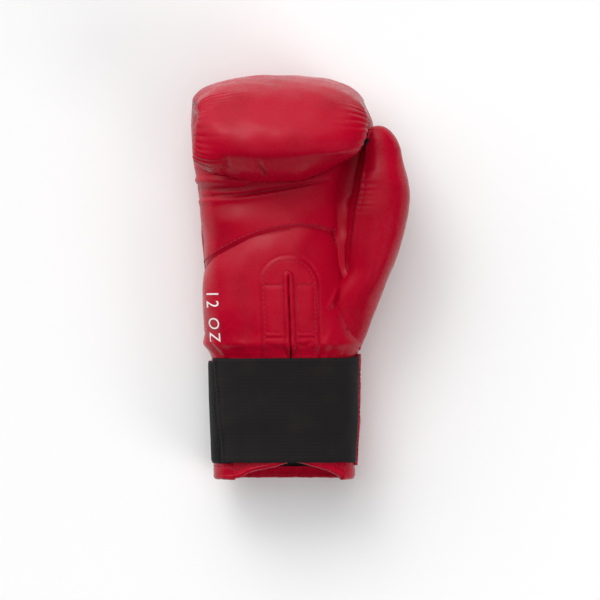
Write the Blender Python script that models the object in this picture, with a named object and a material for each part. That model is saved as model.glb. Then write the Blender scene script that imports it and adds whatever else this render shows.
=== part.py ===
"""A padded boxing glove for the right hand, lying on its back with the palm up.

The glove is a tube of layers (leather, foam, lining) that runs from the cuff along the hand and then
curls round a crease to become the fist and the finger roll. Every layer is cut from the same two
skins, an outer one and the hand's cavity, so the layers nest and never cross.

Lengths are written in millimetres and turned to metres once, in to_metres(). A point on a skin has
a station s, which is the distance from the cuff's end and then one millimetre per degree round the
crease, and an angle a round the section: 0 thumb side, 90 palm, 180 little-finger side, 270 back.
"""

import math

import bmesh
import bpy
from mathutils import Matrix, Vector

# ---------------------------------------------------------------- driving dimensions, in millimetres
LENGTH = 293.7
CUFF_HEM_RADIUS = 2.4
CENTRE_Y = LENGTH / 2 - CUFF_HEM_RADIUS
MIDDLE_X = -10.5

LEATHER = 1.2
LINING = 0.9
LAYER_GAP = 0.4
FOAM_TOP = LEATHER + LAYER_GAP
FOAM_END = LINING + LAYER_GAP

CREASE_Y, CREASE_Z, CREASE_RADIUS = 250.0, 78.0, 2.5
FIST_Y, FIST_Z = 246.5, 60.0
FIST_HALF_Y, FIST_HALF_Z = 43.5, 60.0
FIST_SQUARENESS = 2.3
FIST_LEAN = 0.18

CUFF_START, CUFF_END = 2.9, 86.0
BINDING_END = 7.5
HAND_START = 88.4
HAND_END, ROLL_START = 327.3, 328.7
ROLL_END = 513.0
POCKET_END = 398.0
THUMB_HOLE = (105.0, 150.0)
PALM_SEAM = 172.0
SLIT_COLUMN = 9

SLIT_X, SLIT_TOP = -7.3, 148.0
SLIT_HALF = 1.3
PATCH_LIFT = 0.5
SLIT_PAD_HALF = 10.8
NOTCH_DEEP, NOTCH_WIDE, NOTCH_LONG = 8.0, 46.0, 45.0
STRAP_LOW, STRAP_HIGH = 10.5, 86.5
STRAP_THICK = 1.4
STRAP_HINGE, TAB_HINGE, TAB_END = 14.0, 116.0, 150.0
THUMB_FOLD, LITTLE_FINGER_FOLD, FLAP_GAP = 36, 132, 2

THUMB_BASE_Y, THUMB_NOSE_Y, THUMB_TIP_Y = 115.0, 235.0, 253.5

# Station, bottom, top, half-width to the little finger, half-width to the thumb.
OUTER = (
    (0.0, 3.0, 68.0, 52.0, 51.0),
    (45.0, 2.0, 69.0, 53.5, 53.0),
    (90.0, 2.0, 72.0, 55.0, 53.5),
    (125.0, 0.2, 77.0, 56.8, 46.5),
    (165.0, -1.2, 77.5, 59.5, 43.5),
    (205.0, -1.4, 76.5, 63.0, 47.5),
    (250.0, 0.4, 75.5, 68.2, 64.5),
    (295.0, 0.0, 0.0, 67.0, 65.0),
    (340.0, 0.0, 0.0, 62.5, 62.0),
    (385.0, 0.0, 0.0, 62.5, 61.0),
    (430.0, 0.0, 0.0, 66.0, 60.0),
    (475.0, 0.0, 0.0, 66.5, 53.0),
    (520.0, 0.0, 0.0, 63.0, 44.0),
)

# Station, wall at the back, wall at the palm, wall at the sides.
WALLS = (
    (0.0, 4.6, 4.6, 4.6),
    (14.0, 12.0, 7.4, 8.6),
    (45.0, 14.0, 7.6, 9.5),
    (90.0, 17.0, 8.0, 11.0),
    (125.0, 24.0, 8.5, 10.5),
    (165.0, 33.0, 8.5, 10.5),
    (205.0, 37.0, 8.5, 12.5),
    (250.0, 38.0, 6.5, 17.0),
    (280.0, 33.0, 6.0, 17.0),
    (310.0, 22.0, 6.0, 17.0),
    (340.0, 15.0, 5.2, 18.0),
    (370.0, 11.0, 5.2, 20.0),
    (400.0, 11.0, 5.5, 22.0),
)

# Distance from the cuff, centre across, centre up, half-width, half-height, slant of the ring in
# degrees: the thumb's mouth lies flat against the hand's side and the rings turn square from there.
THUMB = (
    (115.0, 42.9, 48.0, 16.0, 17.0, 67.0),
    (128.0, 45.8, 51.0, 14.8, 18.0, 45.0),
    (144.0, 48.2, 54.5, 14.8, 19.2, 22.0),
    (160.0, 51.9, 57.0, 17.6, 20.4, 6.0),
    (190.0, 57.2, 61.0, 20.8, 21.0, 0.0),
    (215.0, 60.0, 65.5, 18.2, 19.0, 0.0),
    (235.0, 59.8, 69.5, 14.0, 15.5, 0.0),
    (253.5, 57.5, 73.5, 14.0, 15.5, 0.0),
)

# A point on each joint's axis: across, distance from the cuff, up.
STRAP_OPEN_HINGE = (44.6, 48.0, 47.0)
STRAP_TIP_HINGE = (-41.6, 48.0, 72.2)
LITTLE_FINGER_FLAP_HINGE = (-49.9, 44.5, 64.8)
THUMB_FLAP_HINGE = (34.4, 44.5, 60.2)
THUMB_HINGE = (50.0, 98.0, 48.0)
ROLL_HINGE = (-10.5, 287.9, 69.9)

STATIONS = (14, 25, 45, 65, 105, 127, 150, 165, 185, 205, 228, 250, 264, 278, 292, 306, 318,
            340, 352, 366, 380, 395, 410, 428, 446, 464, 482, 498)
ANGLES = tuple(range(-72, 420, 12))

MM = 0.001


# ---------------------------------------------------------------- the skins
def smooth_read(table, key):
    """The table's row at key, on a smooth curve through its rows that never overshoots them."""
    keys = [row[0] for row in table]
    key = min(max(key, keys[0]), keys[-1])
    i = max(k for k in range(len(keys) - 1) if keys[k] <= key)
    t = (key - keys[i]) / (keys[i + 1] - keys[i])

    def slope(k, c):
        if k in (0, len(keys) - 1):
            return 0.0
        before = (table[k][c] - table[k - 1][c]) / (keys[k] - keys[k - 1])
        after = (table[k + 1][c] - table[k][c]) / (keys[k + 1] - keys[k])
        return 0.0 if before * after <= 0 else 2 * before * after / (before + after)

    found = []
    for c in range(1, len(table[0])):
        step = keys[i + 1] - keys[i]
        found.append(
            table[i][c] * (1 + 2 * t) * (1 - t) ** 2
            + table[i + 1][c] * t * t * (3 - 2 * t)
            + slope(i, c) * step * t * (1 - t) ** 2
            + slope(i + 1, c) * step * t * t * (t - 1)
        )
    return found


def fist_radius(theta):
    """Distance from the crease to the fist's leaning, rounded outline, along the ray at theta."""
    near, far = 0.0, 200.0
    for _ in range(40):
        r = (near + far) / 2
        z = CREASE_Z + r * math.sin(theta)
        y = CREASE_Y + r * math.cos(theta) - (FIST_Y - FIST_LEAN * (z - FIST_Z))
        across, up = abs(y) / FIST_HALF_Y, abs(z - FIST_Z) / FIST_HALF_Z
        if across**FIST_SQUARENESS + up**FIST_SQUARENESS < 1:
            near = r
        else:
            far = r
    return near


def section(s, cavity=False):
    """Back point, palm point (both in the middle plane), half-widths and squareness of a section."""
    _, _, little, thumb = smooth_read(OUTER, s)
    back_wall, palm_wall, side_wall = smooth_read(WALLS, s) if cavity else (0.0, 0.0, 0.0)
    if s <= CREASE_Y:
        bottom, top, _, _ = smooth_read(OUTER[:7], s)
        back = Vector((0, s, bottom + back_wall))
        palm = Vector((0, s, top - palm_wall))
        square = 2.6 - 0.2 * s / CREASE_Y
    else:
        theta = math.radians(s - CREASE_Y - 90)
        ray = Vector((0, math.cos(theta), math.sin(theta)))
        crease = Vector((0, CREASE_Y, CREASE_Z))
        back = crease + ray * (fist_radius(theta) - back_wall)
        palm = crease + ray * (CREASE_RADIUS + palm_wall)
        square = 2.4 - 0.1 * min((s - CREASE_Y) / 90, 1)
    return back, palm, little - side_wall, thumb - side_wall, square


def power(value, exponent):
    return math.copysign(abs(value) ** exponent, value)


def skin_point(s, angle, cavity=False):
    back, palm, little, thumb, square = section(s, cavity)
    cosine, sine = math.cos(math.radians(angle)), math.sin(math.radians(angle))
    half = thumb if cosine > 0 else little
    point = (back + palm) / 2 + (palm - back) / 2 * power(sine, 2 / square)
    point.x = MIDDLE_X + half * power(cosine, 2 / square)
    return point


def at_angle(angle):
    """A column of points at one angle."""
    return lambda s: angle


def across(x):
    """A column of points on the palm at one distance across the glove."""

    def angle(s):
        _, _, little, thumb, square = section(s)
        side = x - MIDDLE_X
        share = min(abs(side) / (thumb if side > 0 else little), 1)
        return math.degrees(math.acos(math.copysign(share ** (square / 2), side)))

    return angle


def layer(s, angle, depth):
    """A point at a depth under the outer skin or, where depth is negative, above the cavity.

    The back is pressed flat where the glove lies on it, so the outer skin stops at the floor.
    """
    outer, inner = skin_point(s, angle), skin_point(s, angle, cavity=True)
    outer.z = max(outer.z, 0.0)
    inward = (inner - outer).normalized()
    return outer + inward * depth if depth >= 0 else inner + inward * depth


def over(s, angle, lift):
    """A point standing proud of the outer skin."""
    return layer(s, angle, 0) * 2 - layer(s, angle, lift)


def thumb_ring(y, angle, inset_across, inset_up, shift=0.0):
    """A point of a ring of the thumb: 0 faces away from the palm, 90 up, 180 the fist, 270 down."""
    centre_x, centre_z, half_x, half_z, slant = smooth_read(THUMB, y)
    along = max(0.0, (y - THUMB_NOSE_Y) / (THUMB_TIP_Y - THUMB_NOSE_Y))
    round_off = math.sqrt(max(0.0, 1 - along**2))
    turn, slant = math.radians(angle), math.radians(slant)
    aside = (half_x * round_off - inset_across) * math.cos(turn) + shift
    up = (half_z * round_off - inset_up) * math.sin(turn)
    return Vector((centre_x + aside * math.cos(slant), y - aside * math.sin(slant), centre_z + up))


def thumb_point(y, angle, depth):
    return thumb_ring(y, angle, depth, depth)


def thumb_cavity_point(y, angle, depth):
    """A point of the thumb's cavity, set nearer to the fist so that the outer pad is thicker."""
    return thumb_ring(y, angle, 6.6 - depth, 6.4 - depth, -0.8)


# ---------------------------------------------------------------- meshes
def to_metres(point):
    return Vector((point.x, point.y - CENTRE_Y, point.z)) * MM


def new_object(name, mesh, material):
    mesh.materials.append(material)
    made = bpy.data.objects.new(name, mesh)
    bpy.context.scene.collection.objects.link(made)
    return made


def solid(name, points, faces, material):
    """One closed mesh object, its faces turned out and its edges sharp past 40 degrees."""
    bm = bmesh.new()
    corners = [bm.verts.new(to_metres(p)) for p in points]
    for face in faces:
        bm.faces.new([corners[i] for i in face])
    bmesh.ops.recalc_face_normals(bm, faces=bm.faces)
    mesh = bpy.data.meshes.new(name)
    bm.to_mesh(mesh)
    bm.free()
    mesh.shade_smooth()
    mesh.set_sharp_from_angle(angle=math.radians(40))
    return new_object(name, mesh, material)


def sheet(name, material, rows, columns, upper, lower, keep=None):
    """A closed sheet between two surfaces over a grid; keep(row middle, column index) drops cells."""
    count = len(columns)
    points = [upper(s, c(s)) for s in rows for c in columns]
    points += [lower(s, c(s)) for s in rows for c in columns]
    below = len(rows) * count
    kept = {
        (i, j)
        for i in range(len(rows) - 1)
        for j in range(count - 1)
        if keep is None or keep((rows[i] + rows[i + 1]) / 2, j)
    }
    faces = []
    for i, j in sorted(kept):
        p, q = i * count + j, (i + 1) * count + j
        faces.append((p, p + 1, q + 1, q))
        faces.append((below + p, below + q, below + q + 1, below + p + 1))
        for beside, edge in (
            ((i - 1, j), (p, p + 1)),
            ((i + 1, j), (q + 1, q)),
            ((i, j - 1), (q, p)),
            ((i, j + 1), (p + 1, q + 1)),
        ):
            if beside not in kept:
                faces.append((edge[1], edge[0], below + edge[0], below + edge[1]))
    used = sorted({i for face in faces for i in face})
    place = {old: new for new, old in enumerate(used)}
    return solid(name, [points[i] for i in used], [[place[i] for i in f] for f in faces], material)


def loft(name, material, rings):
    """A closed skin over a run of rings, capped at both ends."""
    count = len(rings[0])
    points = [p for ring in rings for p in ring]
    faces = [list(range(count)), [(len(rings) - 1) * count + i for i in range(count)][::-1]]
    for k in range(len(rings) - 1):
        for i in range(count):
            j = (i + 1) % count
            faces.append((k * count + j, k * count + i, (k + 1) * count + i, (k + 1) * count + j))
    return solid(name, points, faces, material)


def cord(name, material, points, radius):
    """A round piping along a list of points, as a bevelled curve with filled ends."""
    curve = bpy.data.curves.new(name, "CURVE")
    curve.dimensions = "3D"
    curve.bevel_depth = radius * MM
    curve.bevel_resolution = 2
    curve.use_fill_caps = True
    spline = curve.splines.new("POLY")
    spline.points.add(len(points) - 1)
    for place, point in zip(spline.points, points):
        place.co = (*to_metres(point), 1)
    return new_object(name, curve, material)


def stations(low, high):
    """The shared stations between two limits, with the limits."""
    return [low] + [s for s in STATIONS if low + 2.5 < s < high - 2.5] + [high]


def angles(low, high):
    """The shared angles between two limits, with the limits."""
    return [low] + [a for a in ANGLES if low + 4 < a < high - 4] + [high]


def columns_between(low, high):
    return [at_angle(a) for a in angles(low, high)]


def palm_columns(first, last):
    """The palm's shared columns: even angles, with straight lines either side of the slit."""
    slit = [SLIT_X + SLIT_PAD_HALF, SLIT_X + SLIT_HALF, SLIT_X - SLIT_HALF, SLIT_X - SLIT_PAD_HALF]
    shared = [2, 12, 24, THUMB_FOLD, THUMB_FOLD + FLAP_GAP, 48, 60, 70, *"TUVW",
              108, 120, LITTLE_FINGER_FOLD - FLAP_GAP, LITTLE_FINGER_FOLD, 144, 156, 168, 178]
    lines = dict(zip("TUVW", slit))
    chosen = shared[shared.index(first): shared.index(last) + 1]
    return [across(lines[c]) if c in lines else at_angle(c) for c in chosen]


def depth(value):
    return lambda s, a: layer(s, a, value)


def lift(value):
    return lambda s, a: over(s, a, value)


def material(name, colour, roughness, metallic=0.0):
    made = bpy.data.materials.new(name)
    made.use_nodes = True
    shader = made.node_tree.nodes["Principled BSDF"]
    shader.inputs["Base Color"].default_value = (*colour, 1)
    shader.inputs["Roughness"].default_value = roughness
    shader.inputs["Metallic"].default_value = metallic
    made.diffuse_color = (*colour, 1)
    return made


# ---------------------------------------------------------------- the hand
def leather_over_the_hand(leather):
    """Back cover and two palm panels. The back and the heel leave the hole where the thumb joins."""
    hole_low, hole_high = THUMB_HOLE
    back = angles(182, 358)

    def off_the_thumb(s, j):
        return not (hole_low < s < hole_high and back[j] > 330)

    def off_slit_and_thumb(s, j):
        in_slit = j == SLIT_COLUMN and s < SLIT_TOP
        by_thumb = hole_low < s < hole_high and j < 3
        return not (in_slit or by_thumb)

    sheet("back_cover", leather, stations(HAND_START, HAND_END), [at_angle(a) for a in back], depth(0),
          depth(LEATHER), off_the_thumb)
    heel_rows = [HAND_START, 105, 127, SLIT_TOP, 150, 165, PALM_SEAM - 0.4]
    sheet("palm_heel_panel", leather, heel_rows, palm_columns(2, 178), depth(0), depth(LEATHER), off_slit_and_thumb)
    sheet("palm_finger_panel", leather, stations(PALM_SEAM + 0.4, 262), palm_columns(2, 178), depth(0),
          depth(LEATHER))


def padding_in_the_hand(foam):
    """The moulded knuckle block, the pads at the sides and the thin pads in the palm."""
    top, end = depth(FOAM_TOP), depth(-FOAM_END)
    rows = stations(HAND_START, HAND_END)
    sheet("knuckle_foam", foam, rows, columns_between(204, 334), top, end)
    sheet("little_finger_side_foam", foam, rows, columns_between(LITTLE_FINGER_FOLD, 202), top, end)
    sheet("thumb_side_foam", foam, stations(156, HAND_END), columns_between(-22, THUMB_FOLD), top, end)
    sheet("palm_finger_foam", foam, stations(185, 250), palm_columns(38, 130), top, end)
    heel = [HAND_START, 105, 127, 145]
    sheet("palm_heel_foam_little_finger_side", foam, heel, palm_columns("W", 130), top, end)
    sheet("palm_heel_foam_thumb_side", foam, heel, palm_columns(38, "T"), top, end)


def grip_bar(foam):
    """The rolled bar that the fingers close round, sewn across the inside of the palm."""
    radius, y, z, reach, sides = 6.5, 226.0, 57.0, 34.0, 14
    rings = []
    for share in (-1.0, -0.94, -0.5, 0.0, 0.5, 0.94, 1.0):
        size = radius * (0.72 if abs(share) == 1 else 1)
        rings.append([
            Vector((MIDDLE_X + reach * share, y + size * math.cos(turn), z + size * math.sin(turn)))
            for turn in (2 * math.pi * k / sides for k in range(sides))
        ])
    loft("grip_bar", foam, rings)


def lining_in_the_hand(lining):
    """Back and palm halves of the hand's lining, with the way through to the thumb left open."""
    hole_low, hole_high = THUMB_HOLE
    back = angles(182, 358)
    sheet("hand_lining_back", lining, stations(HAND_START, HAND_END), [at_angle(a) for a in back],
          depth(-LINING), depth(-0.0001), lambda s, j: not (hole_low < s < hole_high and back[j] > 330))
    rows = [HAND_START, 105, 127, SLIT_TOP, *stations(150, 250)]
    sheet("hand_lining_palm", lining, rows, palm_columns(2, 178), depth(-LINING), depth(-0.0001),
          lambda s, j: not ((j == SLIT_COLUMN and s < SLIT_TOP) or (hole_low < s < hole_high and j < 3)))


# ---------------------------------------------------------------- the palm's opening
def patch_round_the_slit(leather):
    """An arched patch, a piping on the slit's lips and two short tabs beside it."""
    half, low, arch_low, arch_top = 19.6, HAND_START + 0.4, 135.7, 159.7
    inner, inner_top, turns = 4.6, 152.5, 8

    def outline(width, spring, top):
        left = [(SLIT_X - width, y) for y in (low, 105.0, 120.0)]
        arch = [
            (SLIT_X - width * math.cos(math.pi * k / turns), spring + (top - spring) * math.sin(math.pi * k / turns))
            for k in range(turns + 1)
        ]
        right = [(SLIT_X + width, y) for y in (120.0, 105.0, low)]
        return left + arch + right

    def on_palm(x, y, height):
        return over(y, across(x)(y), height)

    inside, outside = outline(inner, inner_top - inner, inner_top), outline(half, arch_low, arch_top)
    paths = [[(a + (c - a) * t, b + (d - b) * t) for (a, b), (c, d) in zip(inside, outside)] for t in (0, 0.33, 0.67, 1)]
    count, low_side, high_side = len(inside), PATCH_LIFT, PATCH_LIFT + LEATHER
    points = [on_palm(x, y, low_side) for path in paths for x, y in path]
    points += [on_palm(x, y, high_side) for path in reversed(paths) for x, y in path]
    ring = list(range(2 * len(paths)))
    faces = []
    for k in range(count - 1):
        for a, b in zip(ring, ring[1:] + ring[:1]):
            faces.append((a * count + k, b * count + k, b * count + k + 1, a * count + k + 1))
    for k in (0, count - 1):
        for a, b in zip(ring[: len(paths) - 1], ring[1:len(paths)]):
            faces.append([n * count + k for n in (a, b, ring[-1] - b, ring[-1] - a)])
    solid("slit_patch", points, faces, leather)

    lip, spring = 2.4, 145.5
    path = [(SLIT_X - lip, y) for y in (HAND_START + 0.6, 100.0, 115.0, 130.0)]
    path += [(SLIT_X - lip * math.cos(math.pi * k / 6), spring + lip * math.sin(math.pi * k / 6)) for k in range(7)]
    path += [(SLIT_X + lip, y) for y in (130.0, 115.0, 100.0, HAND_START + 0.6)]
    cord("slit_piping", leather, [on_palm(x, y, 2.3) for x, y in path], 1.6)

    bottom = PATCH_LIFT + LEATHER + LAYER_GAP
    for side, where in ((-1, "little_finger"), (1, "thumb")):
        edges = sorted((SLIT_X + side * 5.6, SLIT_X + side * 16.5), reverse=True)
        sheet(f"slit_tab_{where}_side", leather, [104.0, 121.0, 138.5], [across(x) for x in edges],
              lift(bottom + 0.9), lift(bottom))


def gusset_under_the_slit(lining):
    """The stretch tongue behind the slit, so that no skin shows when the flaps part."""
    edges = [across(SLIT_X + x) for x in (9.5, SLIT_HALF, -SLIT_HALF, -9.5)]
    sheet("slit_gusset", lining, [16.0, 25, 45, 65, 88, 105, 127, 144], edges, depth(FOAM_TOP + 0.3),
          depth(FOAM_TOP + 1.1))


# ---------------------------------------------------------------- the cuff
def cuff_round_the_wrist(leather, foam, lining):
    """The fixed part of the cuff: the back and both sides, in four layers with a hem."""
    low, high = LITTLE_FINGER_FOLD, 360 + THUMB_FOLD
    rows = stations(CUFF_START, CUFF_END)
    sheet("cuff_cover", leather, rows, columns_between(low, high), depth(0), depth(LEATHER))
    pads = (("little_finger_side", low, 202), ("back", 204, 334), ("thumb_side", 338, high))
    for where, first, last in pads:
        sheet(f"cuff_foam_{where}", foam, rows, columns_between(first, last), depth(FOAM_TOP), depth(-FOAM_END))
    sheet("cuff_facing", leather, [CUFF_START, BINDING_END], columns_between(low, high), depth(-LINING),
          depth(-0.0001))
    sheet("cuff_lining", lining, stations(BINDING_END + 0.5, CUFF_END), columns_between(low, high), depth(-LINING),
          depth(-0.0001))
    cord("cuff_hem", leather, [layer(0, a, 2.4) for a in angles(low + 1.5, high - 1.5)], CUFF_HEM_RADIUS)


def notched(s, angle):
    """Near the cuff's end the flaps are cut back towards the slit, as a wide shallow V."""
    aside = abs(skin_point(s, angle).x - SLIT_X) / NOTCH_WIDE
    return s + NOTCH_DEEP * max(0.0, 1 - aside) * max(0.0, 1 - s / NOTCH_LONG)


def palm_flap(where, cover_columns, pad_columns, leather, foam, lining):
    """One half of the palm side of the cuff, which folds outwards to let the hand in."""

    def cut(value):
        return lambda s, a: layer(notched(s, a), a, value)

    rows = stations(CUFF_START, CUFF_END)
    sheet(f"flap_cover_{where}", leather, rows, cover_columns, cut(0), cut(LEATHER))
    sheet(f"flap_foam_{where}", foam, rows, pad_columns, cut(FOAM_TOP), cut(-FOAM_END))
    sheet(f"flap_lining_{where}", lining, rows, pad_columns, cut(-LINING), cut(-0.0001))
    ends = sorted((cover_columns[0](0), cover_columns[-1](0)))
    hem = [cut(2.4)(0, a) for a in angles(ends[0] + 2.4, ends[1] - 2.4)]
    cord(f"flap_hem_{where}", leather, hem, CUFF_HEM_RADIUS)


def palm_flaps(leather, foam, lining):
    palm_flap("little_finger_side", palm_columns("V", 130), palm_columns("W", 130), leather, foam, lining)
    palm_flap("thumb_side", palm_columns(38, "U"), palm_columns(38, "T"), leather, foam, lining)


# ---------------------------------------------------------------- the closure
def strap(elastic, loop, hook, leather):
    """A wide elastic strap sewn down at the thumb side; its hooked end grips the loop panel."""
    loop_lift, loop_thick = LAYER_GAP, 1.2
    sheet("loop_panel", loop, stations(STRAP_LOW - 1, STRAP_HIGH - 3), columns_between(LITTLE_FINGER_FOLD, 264),
          lift(loop_lift + loop_thick), lift(loop_lift))
    sheet("strap_end_binding", leather, stations(8, 86), [at_angle(-3), at_angle(8)], lift(LAYER_GAP + 1.2),
          lift(LAYER_GAP))

    tab_lift = loop_lift + loop_thick + 2 * LAYER_GAP + 1.0

    def strap_lift(angle):
        """The strap rises from the flaps to pass over the loop panel."""
        share = min(max((angle - 92) / 36, 0), 1)
        return LAYER_GAP + 0.2 + (tab_lift - LAYER_GAP - 0.2) * share * share * (3 - 2 * share)

    def top(s, a):
        return over(s, a, strap_lift(a) + STRAP_THICK)

    def underside(s, a):
        return over(s, a, strap_lift(a))

    rows = stations(STRAP_LOW, STRAP_HIGH)
    sheet("strap_band", elastic, rows, columns_between(STRAP_HINGE, TAB_HINGE - 0.4), top, underside)
    sheet("strap_tab", elastic, rows, columns_between(TAB_HINGE + 0.4, TAB_END), top, underside)
    sheet("hook_patch", hook, stations(14, STRAP_HIGH - 4), [at_angle(a) for a in (134, 144, 148)],
          lift(loop_lift + loop_thick + LAYER_GAP + 1.0), lift(loop_lift + loop_thick + LAYER_GAP))


# ---------------------------------------------------------------- the finger roll
def finger_roll(leather, foam, lining):
    """The curled end over the finger tips: cover, underside, solid pad and the finger pocket."""
    sheet("roll_cover", leather, stations(ROLL_START, ROLL_END), columns_between(180, 360), depth(0), depth(LEATHER))
    ring = angles(0, 348)
    outer_rows = stations(ROLL_START, ROLL_END - 3)
    rings = [[layer(s, a, FOAM_TOP) for a in ring] for s in reversed(outer_rows)]
    rings += [[layer(s, a, -FOAM_END) for a in ring] for s in stations(ROLL_START, POCKET_END + 3)]
    loft("roll_foam", foam, rings)
    pocket = [[layer(s, a, -LINING) for a in ring] for s in reversed(stations(ROLL_START, POCKET_END))]
    pocket += [[layer(s, a, -0.0001) for a in ring] for s in stations(ROLL_START, POCKET_END - 1.5)]
    loft("finger_pocket_lining", lining, pocket)

    back, palm, _, _, _ = section(ROLL_END)
    inset = (palm - back).normalized()
    normal = Vector((1, 0, 0)).cross(inset)
    centre = (back + palm) / 2
    centre.x = MIDDLE_X
    plate = []
    for step in (0.6, 0.6 + LEATHER):
        skin = [skin_point(ROLL_END, a) for a in ring]
        plate.append([centre + (p - centre) * 0.93 + inset * -1.5 - normal * step for p in skin])
    loft("roll_underside", leather, plate)


# ---------------------------------------------------------------- the thumb
def thumb(leather, foam, lining):
    """Outer cover, inner panel, a pad closed at the tip, and the thumb's lining."""
    rows = [THUMB_BASE_Y, 121, 128, 136, 144, 152, 160, 175, 190, 203, 215, 226, THUMB_NOSE_Y, 241, 246, 249.5, 251.8]
    turns = [15.0 * k for k in range(24)]

    def cover(name, first, last):
        steps = [first + (last - first) * k / 12 for k in range(13)]
        sheet(name, leather, rows, [at_angle(a) for a in steps], lambda y, a: thumb_point(y, a, 0),
              lambda y, a: thumb_point(y, a, LEATHER))

    cover("thumb_outer_cover", -88.2, 90.8)
    cover("thumb_inner_panel", 92.8, 270.0)
    tip = 246.0
    outside = [y for y in rows if y <= tip]
    inside = [y for y in rows if y <= 226]
    rings = [[thumb_point(y, a, FOAM_TOP) for a in turns] for y in reversed(outside)]
    rings += [[thumb_cavity_point(y, a, FOAM_END) for a in turns] for y in inside + [232.0]]
    loft("thumb_foam", foam, rings)
    sleeve = [[thumb_cavity_point(y, a, LINING) for a in turns] for y in [231.0, *reversed(inside)]]
    sleeve += [[thumb_cavity_point(y, a, 0.0) for a in turns] for y in inside + [229.5]]
    loft("thumb_lining", lining, sleeve)


def thumb_tether(elastic):
    """A short elastic loop that keeps the thumb beside the fist."""
    start, end = Vector((37.5, 243, 74.5)), Vector((45.6, 240, 77.6))
    across_it, width, thick = Vector((-0.2, 1, 0.25)).normalized(), 8.0, 1.0
    along = (end - start).normalized()
    up = along.cross(across_it).normalized()
    rings = []
    for share in (0, 0.5, 1):
        middle = start.lerp(end, share) + up * 0.6 * math.sin(math.pi * share)
        rings.append([middle + across_it * width / 2 * i + up * thick / 2 * j
                      for i, j in ((-1, -1), (1, -1), (1, 1), (-1, 1))])
    loft("thumb_tether", elastic, rings)


# ---------------------------------------------------------------- joints
def hang(hinge, where, pieces, parent=None):
    """Parents pieces to an empty that stands on their joint's axis, without moving them."""
    empty = bpy.data.objects.new(hinge, None)
    empty.location = to_metres(Vector(where))
    bpy.context.scene.collection.objects.link(empty)
    if parent:
        empty.parent = parent
        empty.matrix_parent_inverse = Matrix.Translation(-parent.location)
    for piece in pieces:
        made = bpy.data.objects[piece]
        made.parent = empty
        made.matrix_parent_inverse = Matrix.Translation(-empty.location)
    return empty


def joints():
    flap = ("flap_cover", "flap_foam", "flap_lining", "flap_hem")
    for side, where in (("little_finger_side", LITTLE_FINGER_FLAP_HINGE), ("thumb_side", THUMB_FLAP_HINGE)):
        hang(f"{side}_flap_hinge", where, [f"{piece}_{side}" for piece in flap])
    strap_hinge = hang("strap_hinge", STRAP_OPEN_HINGE, ["strap_band"])
    hang("tab_hinge", STRAP_TIP_HINGE, ["strap_tab", "hook_patch"], strap_hinge)
    hang("thumb_hinge", THUMB_HINGE, ["thumb_outer_cover", "thumb_inner_panel", "thumb_foam", "thumb_lining"])
    hang("roll_hinge", ROLL_HINGE, ["roll_cover", "roll_foam", "finger_pocket_lining", "roll_underside"])


def main():
    for old in list(bpy.data.objects):
        bpy.data.objects.remove(old)
    leather = material("red_leather", (0.42, 0.004, 0.022), 0.38)
    foam = material("moulded_foam", (0.07, 0.07, 0.075), 0.9)
    lining = material("lining_fabric", (0.03, 0.028, 0.03), 0.85)
    elastic = material("black_elastic", (0.02, 0.018, 0.019), 0.8)
    loop = material("loop_pile", (0.012, 0.011, 0.012), 0.95)
    hook = material("hook_tape", (0.025, 0.025, 0.027), 0.6)

    leather_over_the_hand(leather)
    padding_in_the_hand(foam)
    grip_bar(foam)
    lining_in_the_hand(lining)
    patch_round_the_slit(leather)
    gusset_under_the_slit(lining)
    cuff_round_the_wrist(leather, foam, lining)
    palm_flaps(leather, foam, lining)
    strap(elastic, loop, hook, leather)
    finger_roll(leather, foam, lining)
    thumb(leather, foam, lining)
    thumb_tether(elastic)
    joints()


main()
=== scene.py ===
"""A padded boxing glove for the right hand, lying on its back with the palm up.

Lengths are in millimetres until a mesh is made. A point of the hand's skin has a station s and an
angle a. The station is the distance from the cuff's end and then one millimetre per degree round
the crease where the fist curls over. The angle runs round the hand: 0 is the thumb side, 90 the
palm, 180 the little-finger side and 270 the back.
"""

from __future__ import annotations

import logging
import math
from dataclasses import dataclass, field
from enum import Enum
from typing import Sequence

import bmesh
import bpy
import numpy as np
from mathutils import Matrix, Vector

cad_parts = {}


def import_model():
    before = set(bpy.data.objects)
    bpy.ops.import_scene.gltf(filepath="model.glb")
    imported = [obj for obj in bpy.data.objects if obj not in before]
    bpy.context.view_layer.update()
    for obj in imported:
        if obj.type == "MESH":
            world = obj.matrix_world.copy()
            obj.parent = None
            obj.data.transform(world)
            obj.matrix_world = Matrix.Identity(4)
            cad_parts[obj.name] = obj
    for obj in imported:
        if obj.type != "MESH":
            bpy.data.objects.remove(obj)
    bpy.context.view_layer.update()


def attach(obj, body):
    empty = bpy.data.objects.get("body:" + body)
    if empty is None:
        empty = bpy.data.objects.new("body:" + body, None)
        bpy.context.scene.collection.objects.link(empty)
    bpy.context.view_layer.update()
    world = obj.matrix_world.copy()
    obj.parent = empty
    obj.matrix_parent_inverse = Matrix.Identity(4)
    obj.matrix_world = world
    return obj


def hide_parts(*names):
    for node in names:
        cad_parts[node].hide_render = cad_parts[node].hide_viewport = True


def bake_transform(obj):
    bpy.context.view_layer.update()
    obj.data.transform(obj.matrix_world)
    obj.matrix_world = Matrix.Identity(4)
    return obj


LOG = logging.getLogger("glove")
MM = 0.001
CENTRE_Y = 144.45
CORD_RELIEF = 0.56  # between worn ridges and the painted shade of folds
Array = np.ndarray
Path = Sequence[tuple[float, float]]
Spot = tuple[float, float, float]
Bend = tuple[str, Spot, Spot]


class Slot(Enum):
    """The record's material slots."""

    LEATHER = "red_leather"
    LINING = "lining_fabric"
    ELASTIC = "black_elastic"
    LOOP = "loop_pile"
    HOOK = "hook_tape"


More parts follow.
